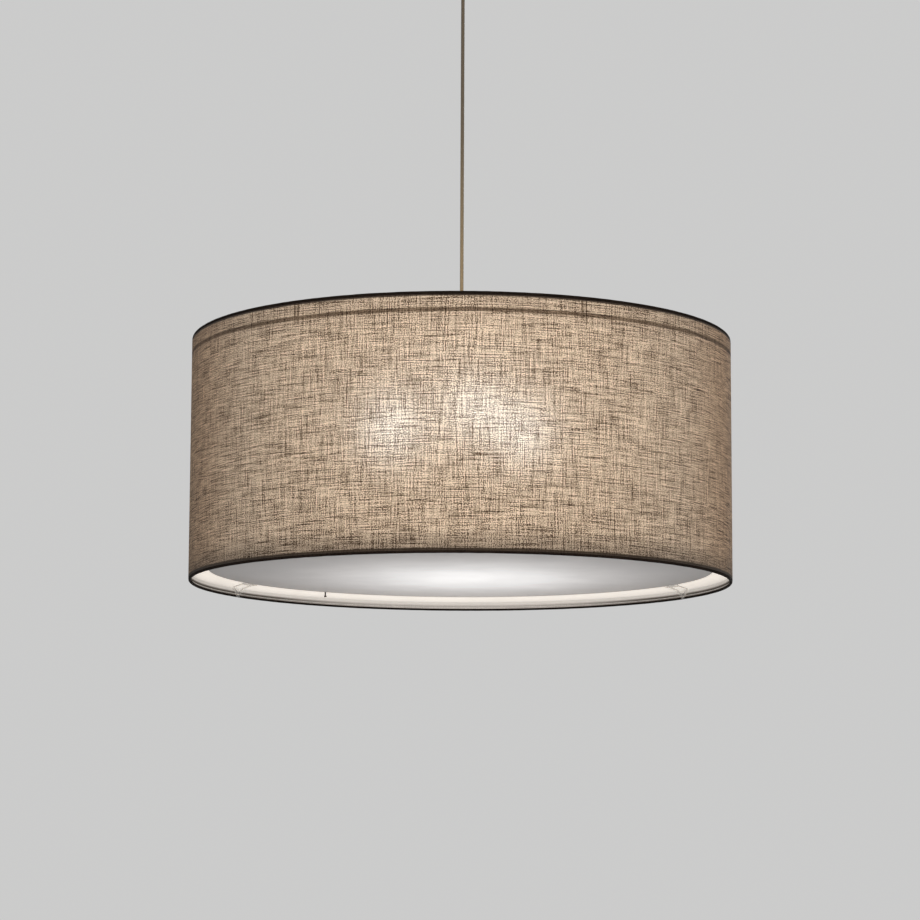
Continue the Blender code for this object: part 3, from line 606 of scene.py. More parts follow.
linenLook = {
    "surface": {"Roughness": 0.92, "Specular IOR Level": 0.12, "Sheen Weight": 0.05, "Sheen Roughness": 0.6},
    "weave": {"Radius": shadeSizes["radius"], "Pitch": 0.0011, "Slubs": 1.0},
    "colours": [(0.09, (0.046, 0.021, 0.009)), (0.52, (0.41, 0.278, 0.174)), (0.91, (0.84, 0.645, 0.460))],
    "bump": (0.5, 0.0003),
    # painted shade: the hems behind the cloth take light from its two edges, and near-black bands are
    # painted along the head and foot: range from the edge, then strengths
    "upperDim": (0.0, 0.040, 0.82, 1.0), "lowerDim": (0.0, 0.030, 0.46, 0.92),
    "lowerLift": (0.020, 0.100, 1.0, 1.087), "headBand": (0.0024, 0.0008),
    "headShadow": (0.018, 0.011, 0.007), "headStrength": 0.95, "footBand": (0.0026, 0.0010),
    "footShadow": (0.026, 0.016, 0.010), "footStrength": 0.93,
    # thin shadows of the frame ring and its clips: level, half height, depth
    "ringShade": (-0.5102, 0.0024, 0.68), "clipShade": (-0.5035, 0.0120, 0.66),
    "clipAzimuths": (-155.0, -95.0, -35.0, 25.0, 85.0, 145.0), "clipProng": 0.0024, "prongHalf": 0.0012,
    # the lap at the back is two layers thick, so less light comes through
    "seamShade": 0.24, "seamBlur": 0.0006, "greenLoss": 0.11, "blueLoss": 0.22,
    # degrees from the front where the painted side shade starts and ends, then its colour
    "sideShadeStart": (46.0, 76.0), "sideShadeEnd": (118.0, 96.0), "backStart": (78.0, 112.0),
    "aside": (0.92, 0.79, 0.66),
    # painted light that comes through: azimuth, height, half widths along and up, strength
    "spots": [
        (-14.0, -0.637, 0.034, 0.034, 0.38),
        (3.0, -0.616, 0.034, 0.032, 0.30),
        (11.8, -0.641, 0.034, 0.034, 0.36),
        (0.0, -0.612, 0.120, 0.070, 0.14),
        (122.0, -0.628, 0.075, 0.070, 0.22),
        (-118.0, -0.628, 0.075, 0.070, 0.22),
        (178.0, -0.632, 0.120, 0.080, 0.12),
    ],
    "glowRange": (0.0, 1.0, 0.02, 0.13), "openCloth": (0.05, 0.75, 0.25, 1.0), "thickThread": (0.10, 0.70),
    "glow": (0.80, 0.93, 1.0), "glowThread": (0.86, 0.60, 0.38), "glowBehind": (1.0, 0.92, 0.82),
}


def squareOf(value, middle, half):
    share = calc("DIVIDE", minus(value, middle), half)
    return calc("POWER", calc("ABSOLUTE", share), 2.0)


def stripe(value, middle, half):
    # 1 in the middle of a band, 0 outside it
    away = calc("ABSOLUTE", minus(value, middle))
    return remap(away, half * 1.3, half * 0.6)


def clothShadow(around, along, height):
    # the frame ring, its clips and the seam, as seen through the lit cloth
    look = linenLook
    level, half, depth = look["ringShade"]
    shadow = times(stripe(height, level, half), depth)
    level, half, depth = look["clipShade"]
    clipBand = stripe(height, level, half)
    for azimuth in look["clipAzimuths"]:
        middle = math.radians(azimuth) * shadeSizes["radius"]
        for side in (-1, 1):
            prong = stripe(along, middle + side * look["clipProng"], look["prongHalf"])
            shadow = calc("MAXIMUM", shadow, times(prong, clipBand, depth))
    edge = shadeSizes["seamWidth"] / shadeSizes["radius"] - math.pi
    blur = look["seamBlur"]
    return calc("MAXIMUM", shadow, remap(around, edge + blur, edge - blur, 0.0, look["seamShade"]))


def makeLinen():
    look = linenLook
    made, shader, tone = wovenMaterial("litLinen", look, linen)
    axes = objectAxes(made.node_tree)
    height = axes["Z"]
    around = azimuthOf(axes)
    along = times(around, shadeSizes["radius"])
    fromTop = minus(shadeSizes["top"], height)
    fromFoot = minus(height, shadeSizes["bottom"])
    # painted shade near the two rims, with a slight painted lift above the foot
    lower = times(remap(fromFoot, *look["lowerDim"]), remap(fromFoot, *look["lowerLift"]))
    hemShade = times(remap(fromTop, *look["upperDim"]), lower)
    foot = remap(fromFoot, *look["footBand"])
    head = remap(fromTop, *look["headBand"])
    # painted shade: the cloth is darker and warmer on the drum's two sides, between the front and the back
    aside = times(calc("ABSOLUTE", around), math.degrees(1.0))
    turned = times(remap(aside, *look["sideShadeStart"]), remap(aside, *look["sideShadeEnd"]))
    colour = ramp(tone, look["colours"])
    colour = mixColours(turned, colour, mixColours(1.0, colour, look["aside"], "MULTIPLY"))
    # the shadows are brown, as light inside the cloth loses its blue first
    clear = minus(1.0, clothShadow(around, along, height))
    shade = times(hemShade, clear)
    green = times(shade, calc("POWER", clear, look["greenLoss"]))
    blue = times(shade, calc("POWER", clear, look["blueLoss"]))
    brown = addNode("ShaderNodeCombineColor", {0: shade, 1: green, 2: blue}).outputs[0]
    colour = mixColours(1.0, colour, brown, "MULTIPLY")
    # painted shade: near-black bands along the foot and the head of the cloth
    colour = mixColours(times(foot, look["footStrength"]), colour, look["footShadow"])
    colour = mixColours(times(head, look["headStrength"]), colour, look["headShadow"])
    feed(shader["Base Color"], colour)
    # the far side has no lamp of its own in front, so it shows more of the light inside
    behind = remap(aside, *look["backStart"])
    glow = remap(behind, *look["glowRange"])
    for azimuth, level, wide, tall, strength in look["spots"]:
        across = squareOf(along, math.radians(azimuth) * shadeSizes["radius"], wide)
        upward = squareOf(height, level, tall)
        glow = plus(glow, times(bellCurve(plus(across, upward)), strength))
    edges = minus(1.0, calc("MAXIMUM", foot, head))
    glow = times(glow, remap(tone, *look["openCloth"]), shade, edges)
    # in the painted light, thick threads stay brown while the gaps between them turn white
    tint = mixColours(remap(tone, *look["thickThread"]), look["glowThread"], look["glow"])
    glowWith(shader, glow, mixColours(behind, tint, look["glowBehind"]))
    return made


hemLook = {
    "surface": {"Roughness": 0.9, "Specular IOR Level": 0.05},
    "weave": {"Radius": 0.31, "Pitch": 0.0010, "Slubs": 0.6},
    # dark is the fold's darker cloth deepened by painted shade; inner and roll are the paler colours where
    # the bulbs' painted light falls
    "dark": [(0.1, (0.003, 0.002, 0.0015)), (0.9, (0.020, 0.013, 0.009))],
    "inner": [(0.1, (0.16, 0.133, 0.110)), (0.9, (0.21, 0.178, 0.150))],
    "roll": [(0.1, (0.28, 0.24, 0.205)), (0.9, (0.40, 0.350, 0.305))], "liner": (0.86, 0.82, 0.76),
    # ranges of the distance from the axis and of the height from the drum's middle
    "inside": (0.3084, 0.3080), "proud": (0.30795, 0.30770), "middle": -0.630, "within": (0.1378, 0.1372),
    "covered": (0.1343, 0.1318), "backGlow": (0.20, 0.312, 0.01, 0.34),
    "threadGlow": (0.0, 1.0, 0.88, 1.08), "linerGlow": 0.22, "tint": (1.0, 0.92, 0.85),
    "bump": (0.6, 0.0003),
}


def makeHemCloth():
    # painted shade outside and on its edge, painted light inside where the bulbs reach it
    look = hemLook
    made, shader, tone = wovenMaterial("foldedHem", look, linen)
    axes = objectAxes(made.node_tree)
    reach = flatReach(axes)
    away = calc("ABSOLUTE", minus(axes["Z"], look["middle"]))
    lit = times(remap(reach, *look["inside"]), remap(away, *look["within"]))
    # painted light: the roll stands in front of the flat hem and catches more light
    proud = remap(reach, *look["proud"])
    inner = mixColours(proud, ramp(tone, look["inner"]), ramp(tone, look["roll"]))
    # the liner runs over the upper part of the fold
    covered = remap(away, *look["covered"])
    inner = mixColours(covered, inner, look["liner"])
    feed(shader["Base Color"], mixColours(lit, ramp(tone, look["dark"]), inner))
    # painted light: the fold at the back faces the brightest part of the disc
    strong = times(remap(axes["Y"], *look["backGlow"]), remap(tone, *look["threadGlow"]))
    clothed = times(minus(1.0, covered), strong)
    glow = times(lit, plus(clothed, times(covered, look["linerGlow"])))
    glowWith(shader, glow, look["tint"])
    return made


linerLook = {
    "surface": {"Roughness": 0.5}, "colours": (18.0, 0.5, (0.90, 0.86, 0.80), (0.82, 0.77, 0.70)),
    "inside": (0.30905, 0.30885), "footGlow": (-0.7640, -0.7520, 0.25, 0.46),
    "upGlow": (-0.7500, -0.7300, 1.0, 0.35), "bulbs": 3.0, "firstBulb": 10.0, "bulbLevel": -0.60,
    "bulbSpread": 0.085, "bulbGlow": (-1.0, 1.0, 0.0, 0.14), "mottle": (0.0, 1.0, 1.0, 0.88),
    "tint": (1.0, 0.93, 0.86), "grain": (1400.0, 0.3, 0.00004),
}


def makeLinerFilm():
    look = linerLook
    made, shader, mask = grainyMaterial("litLiner", look)
    axes = objectAxes(made.node_tree)
    # only the inner face shows the bulbs' light, and less of it near the hem
    inside = remap(flatReach(axes), *look["inside"])
    fall = times(remap(axes["Z"], *look["footGlow"]), remap(axes["Z"], *look["upGlow"]))
    # brighter where each of the three bulbs is near
    turned = minus(azimuthOf(axes), math.radians(look["firstBulb"]))
    lobes = calc("COSINE", times(turned, look["bulbs"]))
    lift = bellCurve(squareOf(axes["Z"], look["bulbLevel"], look["bulbSpread"]))
    fall = plus(fall, times(lift, remap(lobes, *look["bulbGlow"])))
    glowWith(shader, times(fall, inside, remap(mask, *look["mottle"])), look["tint"])
    return made


litLinen = makeLinen()
foldedHem = makeHemCloth()
litLiner = makeLinerFilm()


def clothTube(outer, inner, top, bottom):
    rows = shadeSizes["rows"]
    levels = [top + (bottom - top) * i / rows for i in range(rows + 1)]
    return [(outer, z) for z in levels] + [(inner, z) for z in reversed(levels)]


def makeSeam():
    # the cloth's ends overlap in one upright seam at the back
    s = shadeSizes
    seam = bmesh.new()
    corners = ringPoints(s["radius"] + s["seamRise"], s["radius"], s["top"], s["bottom"])
    verts = [seam.verts.new((r, 0.0, z)) for r, z in corners]
    face = seam.faces.new(verts)
    bmesh.ops.spin(
        seam, geom=[face] + list(face.edges) + verts, cent=(0, 0, 0), axis=(0, 0, 1),
        angle=s["seamWidth"] / s["radius"], steps=4,
    )
    bmesh.ops.recalc_face_normals(seam, faces=seam.faces)
    softenEdges(seam, *s["seamSoft"])
    moveMesh(seam, Matrix.Rotation(heading(180.0), 4, "Z"))
    keepPiece("seamLap", seam, litLinen)


def makeHem(label, level, side):
    s = shadeSizes
    roll = spinProfile(arcPoints((s["rimRadius"], level), s["rollRadius"], *s["rollTurn"]), s["steps"])
    for v in roll.verts:
        # slight lumps where the cloth is turned over its wire
        middle = Vector((v.co.x, v.co.y, 0.0)).normalized() * s["rimRadius"]
        middle.z = level
        swell = noise.noise(v.co * s["lumps"]) * s["unevenness"] - s["unevenness"] * 0.6
        v.co += (v.co - middle).normalized() * swell
    legTop = level + side * s["legStart"]
    legEnd = legTop + side * s["legLength"]
    addMesh(roll, spinProfile(ringPoints(s["legOuter"], s["legInner"], legTop, legEnd), s["steps"]))
    keepPiece(f"{label}Hem", roll, foldedHem, f"shade_{label}_hem", crease=50.0)


def makeShade():
    s = shadeSizes
    skin = clothTube(s["radius"], s["radius"] - s["cloth"], s["clothTop"], s["clothBottom"])
    turnedPiece("linenSkin", skin, s["steps"], litLinen, "shade_fabric")
    film = clothTube(s["linerOuter"], s["linerInner"], s["top"], s["bottom"])
    turnedPiece("linerFilm", film, s["steps"], litLiner, "shade_liner")
    makeSeam()
    makeHem("top", s["topRim"], -1)
    makeHem("bottom", s["bottomRim"], 1)


makeShade()
print("shade made")

# diffuser

diffuserSizes = {
    "rings": (0.0, 0.07, 0.14, 0.21, 0.2885), "top": -0.752, "bottom": -0.755, "steps": 240,
    "soft": (0.0007, 3),
}
pegSizes = {
    "radius": 0.00085, "length": 0.0058, "azimuth": -145.0, "reach": 0.2863, "gap": 0.0003,
    "headRadius": 0.0016, "headShare": 0.72, "headSoft": 0.0003, "sides": 20,
}
diffuserLook = {
    # painted shade: the sheet's grey is darker than white opal, with dusty patches on it
    "surface": {"Roughness": 0.38}, "colours": (12.0, 0.6, (0.345, 0.32, 0.312), (0.295, 0.272, 0.262)),
    # painted light: a bright patch on the underside, centred a little towards the back
    "centre": (0.010, 0.075), "spread": (0.114, 0.122), "base": 0.01, "peak": 0.70,
    # the upper face takes the bulbs' light directly, evenly round the middle
    "upperFace": (-0.7535, -0.7525), "direct": (0.02, 0.26, 0.44, 0.24), "waves": (16.0, 4.0, 0.55),
    "waveGlow": (0.25, 0.75, 0.86, 1.12, "LINEAR"), "edgeShade": (0.2883, 0.2845, 0.35, 1.0),
    "tints": [(0.0, (1.0, 0.93, 0.90)), (0.7, (1.0, 0.985, 0.975))], "grain": (2200.0, 0.25, 0.00003),
}


def makeDiffuserSheet():
    look = diffuserLook
    made, shader = grainyMaterial("litDiffuser", look)[:2]
    axes = objectAxes(made.node_tree)
    x, y = (calc("DIVIDE", minus(axes[i], look["centre"][i]), look["spread"][i]) for i in (0, 1))
    fall = calc("EXPONENT", times(plus(times(x, x), times(y, y)), -0.5))
    below = plus(times(fall, look["peak"]), look["base"])
    upper = remap(axes["Z"], *look["upperFace"])
    reach = flatReach(axes)
    above = times(remap(reach, *look["direct"]), upper)
    glow = plus(times(below, minus(1.0, upper)), above)
    # painted light: the sheet is slightly wavy, so its light is uneven, and painted shade dims it near its
    # edge
    waves = noiseAt(objectPoint(made.node_tree), *look["waves"])
    glow = times(glow, remap(waves, *look["waveGlow"]), remap(reach, *look["edgeShade"]))
    glowWith(shader, glow, ramp(fall, look["tints"]))
    return made


def makeDiffuser():
    d, p = diffuserSizes, pegSizes
    profile = [(r, d["top"]) for r in d["rings"]] + [(r, d["bottom"]) for r in reversed(d["rings"])]
    turnedPiece(
        "diffuserSheet", profile, d["steps"], makeDiffuserSheet(), "diffuser_disc", d["soft"],
        closed=False, body="diffuser",
    )
    foot = polar(p["reach"], p["azimuth"], d["bottom"] - p["gap"])
    tip = foot - upBy(p["length"])
    pin = rodMesh(foot, tip, p["radius"], p["sides"])
    head = rodMesh(foot - upBy(p["length"] * p["headShare"]), tip, p["headRadius"], p["sides"])
    addMesh(pin, softenEdges(head, p["headSoft"]))
    keepPiece("diffuserPin", pin, darkPin, "diffuser_peg", "diffuser")


makeDiffuser()
print("diffuser made")

# frame: ring, arms and washer

frameSizes = {
    "ringRadius": 0.3062, "wire": 0.0022, "wireTurn": (0.0, -330.0, 11), "level": -0.510, "arm": 0.0025,
    "armStart": 0.0223, "armEnd": 0.3037, "armSides": 28, "firstArm": 10.0, "arms": 3, "soft": 0.0004,
    "washer": (0.022, 0.0053, -0.50875, -0.51125), "beads": (0.0226, 0.3035), "bead": 0.0034,
    "beadFlat": 0.86, "beadLumps": (600.0, 0.0003),
}


def makeFrame():
    f = frameSizes
    hoop = arcPoints((f["ringRadius"], f["level"]), f["wire"], *f["wireTurn"])
    turnedPiece("frameHoop", hoop, 240, zincSteel, "frame_ring")
    beads = bmesh.new()
    for i in range(f["arms"]):
        azimuth = f["firstArm"] + 360.0 / f["arms"] * i
        start, end = (polar(reach, azimuth, f["level"]) for reach in (f["armStart"], f["armEnd"]))
        arm = softenEdges(rodMesh(start, end, f["arm"], f["armSides"]), f["soft"])
        keepPiece(f"spiderRod_{i + 1}", arm, zincSteel, f"spider_arm_{i + 1}")
        for reach in f["beads"]:
            place = Matrix.Translation(polar(reach, azimuth, f["level"]))
            bmesh.ops.create_uvsphere(
                beads, u_segments=20, v_segments=12, radius=f["bead"],
                matrix=place @ Matrix.Diagonal((1.0, 1.0, f["beadFlat"], 1.0)),
            )
    scale, height = f["beadLumps"]
    for v in beads.verts:
        v.co += v.co.normalized() * noise.noise(v.co * scale) * height
    keepPiece("weldBeads", beads, zincSteel)
    turnedPiece("spiderPlate", ringPoints(*f["washer"]), 72, zincSteel, "spider_washer", (f["soft"],))


makeFrame()
print("frame made")

# stem, gland and hub

stemSizes = {
    "flange": 0.009, "flangeTop": -0.50245, "flangeBottom": -0.50845, "radius": 0.005, "bore": 0.003,
    "bottom": -0.55385, "threadPitch": 0.001, "threadDepth": 0.0003, "threadTop": -0.5120,
}
glandSizes = {
    "radius": 0.008, "tip": 0.00375, "top": -0.48315, "foot": -0.50215, "bore": 0.0024,
    "straight": 0.006, "ribs": 5, "soft": (0.0002, 2, 40.0),
    # steps in radius and height at each rib
    "rib": [(-0.0002, 0.0006), (-0.0007, 0.0002), (0.0001, -0.0005)],
}
hubSizes = {
    "radius": 0.025, "wall": 0.002, "centre": -0.52385, "rimRise": 0.010, "stemHole": 0.0053, "arc": 18,
    "soft": (0.0003, 2, 40.0), "lid": 0.022, "lidTop": -0.51155, "lidBottom": -0.51355, "plainSoft": 0.0004,
    "nut": 0.0085, "nutTop": -0.51385, "nutBottom": -0.51785,
    "cap": 0.008, "capTop": -0.54915, "capSide": 0.0042, "dome": 0.6, "capFoot": -0.55805,
}


def makeGland():
    g = glandSizes
    gland = [(g["tip"], g["top"])]
    bodyTop = g["foot"] + g["straight"]
    for i in range(g["ribs"]):
        share = (i + 1) / (g["ribs"] + 1)
        level = g["top"] + (bodyTop - g["top"]) * share
        radius = g["tip"] + (g["radius"] - g["tip"]) * share
        gland += [(radius + out, level + up) for out, up in g["rib"]]
    gland += ringPoints(g["radius"], g["bore"], bodyTop, g["foot"])[:3] + [(g["bore"], g["top"])]
    turnedPiece("taperGland", gland, 48, whitePlastic, "cord_gland", g["soft"])


def makeHub():
    h = hubSizes
    inner = h["radius"] - h["wall"]
    bowl = []
    for radius, order in ((h["radius"], 1), (inner, -1)):
        rim = math.degrees(math.asin(h["rimRise"] / radius))
        foot = -math.degrees(math.acos(h["stemHole"] / radius))
        bowl += arcPoints((0.0, h["centre"]), radius, *(rim, foot)[::order], h["arc"])
    turnedPiece("hubShell", bowl, 72, whiteLacquer, "hub_bowl", h["soft"])
    lid = ringPoints(h["lid"], h["stemHole"], h["lidTop"], h["lidBottom"])
    turnedPiece("hubCover", lid, 72, whiteLacquer, "hub_lid", (h["plainSoft"],))

    nut = bmesh.new()
    bmesh.ops.create_cone(
        nut, cap_ends=True, segments=6, radius1=h["nut"], radius2=h["nut"],
        depth=h["nutTop"] - h["nutBottom"],
        matrix=Matrix.Translation(upBy((h["nutTop"] + h["nutBottom"]) / 2)),
    )
    keepPiece("hexNut", softenEdges(nut, h["plainSoft"]), nickelPlate, "stem_nut")

    side = h["capTop"] - h["capSide"]
    dome = [(0.0, h["capTop"]), (h["cap"], h["capTop"]), (h["cap"], side)]
    dome += arcPoints((0.0, side), h["cap"] * h["dome"], 0.0, -90.0, 10)[1:-1] + [(0.0, h["capFoot"])]
    turnedPiece("capNut", dome, 48, nickelPlate, "hub_cap_nut", h["soft"], closed=False)


def makeStem():
    s = stemSizes
    profile = [(s["flange"], s["flangeTop"])]
    profile += [(s["flange"], s["flangeBottom"]), (s["radius"], s["flangeBottom"])]
    profile += threadPoints(s["radius"], s["threadDepth"], s["threadTop"], s["bottom"], s["threadPitch"])
    profile += [(s["bore"], s["bottom"]), (s["bore"], s["flangeTop"])]
    turnedPiece("hollowStem", profile, 48, nickelPlate, "hub_stem")


makeStem()
makeGland()
makeHub()
print("stem and hub made")

# lampholders and bulbs

# heights run outwards from the hub's centre, along the axis of each light
holderSizes = {
    "tilt": 35.0, "base": 0.0256, "neck": 0.0095, "neckEnd": 0.030, "shoulderEnd": 0.040, "waist": 0.0186,
    "shoulderGap": 0.0004, "shoulder": (-12.0, -78.0, 6), "bandStart": 0.058, "band": 0.0195,
    "bandEdge": 0.0006, "mouth": 0.075, "mouthEdge": 0.0013, "bore": 0.015, "floor": 0.043, "hole": 0.0053,
    # grooves round the band: number, first, spacing, then steps in radius and height
    "grooves": 4, "firstGroove": 0.0035, "grooveSpacing": 0.0036,
    "groove": [(0.0, 0.0), (-0.0005, -0.0004), (-0.0005, -0.0012), (0.0, -0.0016)],
    "soft": (0.00025, 2, 35.0),
}
# outer radius, thread depth, top, bottom, pitch, then the bore
nippleSizes = {"thread": (0.005, 0.00025, 0.038, 0.020, 0.001), "bore": 0.0033}
shellSizes = {"thread": (0.0146, 0.0004, 0.071, 0.045, 0.0036), "bore": 0.0138}
bulbSizes = {
    "contact": [(0.0, 0.0485), (0.005, 0.0485), (0.0048, 0.0479), (0.0025, 0.0465), (0.0, 0.0465)],
    "capTop": 0.0733, "capLip": 0.0012, "capRadius": 0.01305, "threadGap": 0.0001, "thread": 0.0007,
    "threadTop": 0.0717, "threadEnd": 0.0543, "threadPitch": 0.0036, "pointsPerTurn": 8,
    "capCone": (0.0105, 0.0523), "capFoot": (0.0065, 0.0488),
    "glassRadius": 0.030, "glassMiddle": 0.1205,
    "glassNeck": [
        (0.0206, 0.0986), (0.0182, 0.0952), (0.0163, 0.0912), (0.0149, 0.0868), (0.0139, 0.0820),
        (0.0132, 0.0775), (0.0130, 0.0736), (0.0, 0.0736),
    ],
}
glassLook = {
    "surface": {"Roughness": 0.18, "Coat Weight": 0.6},
    "colours": (60.0, 0.3, (0.62, 0.605, 0.57), (0.55, 0.53, 0.49)),
    # brightest in the globe, dim towards the screw cap
    "glow": (0.060, 0.105, 0.26, 0.60), "cleanTint": (1.0, 0.90, 0.74), "dustyTint": (0.94, 0.82, 0.64),
    "grain": (300.0, 0.15, 0.00003),
}


def makeBulbGlass():
    look = glassLook
    made, shader, mask = grainyMaterial("litGlass", look)
    power = remap(flatReach(objectAxes(made.node_tree)), *look["glow"])
    glowWith(shader, power, mixColours(mask, look["cleanTint"], look["dustyTint"]))
    return made


def holderPoints():
    h = holderSizes
    body = [(h["band"] - h["mouthEdge"], h["mouth"]), (h["band"], h["mouth"] - h["mouthEdge"])]
    for i in range(h["grooves"]):
        level = h["mouth"] - h["firstGroove"] - i * h["grooveSpacing"]
        body += [(h["band"] + out, level + up) for out, up in h["groove"]]
    body += [(h["band"], h["bandStart"]), (h["waist"], h["bandStart"] - h["bandEdge"])]
    body.append((h["waist"], h["shoulderEnd"]))
    start = h["neck"] + h["shoulderGap"]
    body += arcPoints((start, h["shoulderEnd"]), h["waist"] - start, *h["shoulder"])
    body += ringPoints(h["neck"], h["hole"], h["neckEnd"], h["base"])[:3]
    return body + [(h["hole"], h["floor"]), (h["bore"], h["floor"]), (h["bore"], h["mouth"])]


def threadedTube(sizes):
    outer, depth, top, bottom, pitch = sizes["thread"]
    return threadPoints(outer, depth, top, bottom, pitch) + [(sizes["bore"], bottom), (sizes["bore"], top)]


def capPoints():
    b = bulbSizes
    cap = [(0.0, b["capTop"]), (b["capRadius"], b["capTop"]), (b["capRadius"], b["capTop"] - b["capLip"])]
    length = b["threadTop"] - b["threadEnd"]
    steps = round(length / b["threadPitch"]) * b["pointsPerTurn"]
    for i in range(steps + 1):
        wave = 0.5 - 0.5 * math.cos(math.tau * i / b["pointsPerTurn"])
        radius = b["capRadius"] - b["threadGap"] - b["thread"] * wave
        cap.append((radius, b["threadTop"] - length * i / steps))
    return cap + [b["capCone"], b["capFoot"], (0.0, b["capFoot"][1])]


def makeLight(number):
    b = bulbSizes
    turn = Matrix.Rotation(heading(frameSizes["firstArm"] + 120.0 * (number - 1)), 4, "Z")
    tip = Matrix.Rotation(math.radians(90.0 + holderSizes["tilt"]), 4, "Y")
    place = Matrix.Translation(upBy(hubSizes["centre"])) @ turn @ tip

    mark = f"_{number}"
    bulb = "bulb" + mark

    def lightPiece(name, profile, steps, material, replaced, **others):
        turnedPiece(name + mark, profile, steps, material, replaced + mark, place=place, **others)

    lightPiece("threadedNipple", threadedTube(nippleSizes), 32, nickelPlate, "holder_nipple")
    lightPiece("bulbHolder", holderPoints(), 64, whitePlastic, "lampholder", soft=holderSizes["soft"])
    lightPiece("threadedShell", threadedTube(shellSizes), 48, brassSheet, "holder_shell")
    lightPiece("endContact", b["contact"], 32, brassSheet, "bulb_contact", closed=False, body=bulb + "_tip")
    lightPiece("screwCap", capPoints(), 48, capMetal, "bulb_cap", closed=False, body=bulb)
    glass = [(0.0, b["glassMiddle"] + b["glassRadius"])]
    glass += arcPoints((0.0, b["glassMiddle"]), b["glassRadius"], 90.0, -40.0, 26)[1:] + b["glassNeck"]
    lightPiece("opalBulb", glass, 64, litGlass, "bulb_glass", closed=False, body=bulb, crease=40.0)


litGlass = makeBulbGlass()
for lightNumber in (1, 2, 3):
    makeLight(lightNumber)
print("lampholders and bulbs made")

# ceiling rose

roseSizes = {
    "radius": 0.060, "height": 0.034, "wall": 0.0012, "corner": 0.007, "rim": -0.0005, "hole": 0.0063,
    "soft": (0.0003, 2, 50.0),
}
screwSizes = {
    "level": -0.0085, "gap": 0.0003, "shank": 0.0019, "thread": 0.0002, "pitch": 0.0007, "length": 0.007,
    "head": 0.0045, "headLength": 0.0045, "ridges": 28, "ridgeShare": 0.94,
}
gripSizes = {
    "stem": 0.006, "stemTop": -0.025, "flange": 0.015, "flangeTop": -0.0343, "flangeFoot": -0.0373,
    "barrel": 0.0125, "barrelTop": -0.0388, "lip": -0.048, "ball": 0.009, "ballCentre": -0.0435,
    "socket": 0.00935, "bore": 0.0024, "soft": (0.0004, 2, 40.0),
    "nut": (0.0095, 0.0063, -0.0285, -0.0325), "nutSoft": 0.0004,
}
ferruleSizes = {
    "radius": 0.004, "tip": 0.0029, "top": -0.0528, "foot": -0.0688, "straight": -0.058133333,
    # steps in from the radius and down from the end of the straight part, where it is pressed
    "press": [(0.0, 0.0), (-0.0004, -0.0004), (-0.0004, -0.0014), (-0.0002, -0.0018)],
    "edge": (0.0003, 0.0004),
}
blockSizes = {
    "start": 0.014, "length": 0.024, "width": 0.016, "top": -0.0023, "height": 0.013, "pitch": 0.0048,
    # shares of the block's height, length and pitch
    "baseShare": 0.62, "baseDrop": 0.19, "towerShares": (0.92, 0.82, 0.48), "towerRise": 0.25,
    "baseSoft": 0.0007, "towerSoft": 0.0006,
}


def makeCup():
    r = roseSizes
    bottom = -r["height"]
    corner = (r["radius"] - r["corner"], bottom + r["corner"])
    cup = [(r["radius"], r["rim"])] + arcPoints(corner, r["corner"], 0.0, -90.0, 10)
    cup += [(r["hole"], bottom), (r["hole"], bottom + r["wall"])]
    cup += arcPoints(corner, r["corner"] - r["wall"], -90.0, 0.0, 10) + [(r["radius"] - r["wall"], r["rim"])]
    turnedPiece("roseCup", cup, 120, whiteLacquer, "canopy", r["soft"], body="ceiling_rose")


def makeThumbScrew(number, side):
    s = screwSizes
    head = bmesh.new()
    bmesh.ops.create_circle(head, cap_ends=True, segments=s["ridges"] * 2, radius=s["head"])
    for v in list(head.verts)[::2]:
        v.co *= s["ridgeShare"]
    grown = bmesh.ops.extrude_face_region(head, geom=list(head.faces))
    lifted = [v for v in grown["geom"] if isinstance(v, bmesh.types.BMVert)]
    bmesh.ops.translate(head, verts=lifted, vec=upBy(s["headLength"]))
    bmesh.ops.recalc_face_normals(head, faces=head.faces)
    outer = roseSizes["radius"] + s["gap"]
    moveMesh(head, Matrix.Translation(upBy(outer)))
    shank = threadPoints(s["shank"], s["thread"], outer, outer - s["length"], s["pitch"])
    shank = [(0.0, shank[0][1])] + shank + [(0.0, shank[-1][1])]
    addMesh(head, spinProfile(shank, 24, closed=False))
    turn = Matrix.Translation(upBy(s["level"])) @ Matrix.Rotation(side * math.radians(90.0), 4, "Y")
    moveMesh(head, turn)
    keepPiece(f"thumbScrew_{number}", head, nickelPlate, f"canopy_screw_{number}", "ceiling_rose")


def makeGrip():
    g, f = gripSizes, ferruleSizes
    centre = (0.0, g["ballCentre"])
    lipAngle = -math.degrees(math.asin((g["ballCentre"] - g["lip"]) / g["socket"]))
    boreAngle = math.degrees(math.acos(g["bore"] / g["socket"]))
    collar = [(g["stem"], g["stemTop"]), (g["stem"], g["flangeTop"]), (g["flange"], g["flangeTop"])]
    collar += [(g["flange"], g["flangeFoot"]), (g["barrel"], g["barrelTop"]), (g["barrel"], g["lip"])]
    collar += arcPoints(centre, g["socket"], lipAngle, boreAngle, 18) + [(g["bore"], g["stemTop"])]
    rose = "ceiling_rose"
    turnedPiece("swivelCollar", collar, 64, whitePlastic, "cord_grip_collar", g["soft"], body=rose)
    nut = ringPoints(*g["nut"])
    turnedPiece("ringNut", nut, 48, whitePlastic, "cord_grip_lock_nut", (g["nutSoft"],), body=rose)
    ballAngle = math.degrees(math.acos(g["bore"] / g["ball"]))
    ball = arcPoints(centre, g["ball"], ballAngle, -ballAngle, 24)
    turnedPiece("pivotBall", ball, 48, whitePlastic, "swivel_ball", body="swivel", crease=50.0)
    inward, down = f["edge"]
    ferrule = [(f["radius"] - inward, f["top"]), (f["radius"], f["top"] - down)]
    ferrule += [(f["radius"] + out, f["straight"] + up) for out, up in f["press"]]
    ferrule += [(f["tip"], f["foot"]), (g["bore"], f["foot"]), (g["bore"], f["top"])]
    turnedPiece("crimpedFerrule", ferrule, 48, nickelPlate, "cord_ferrule", body="cord")


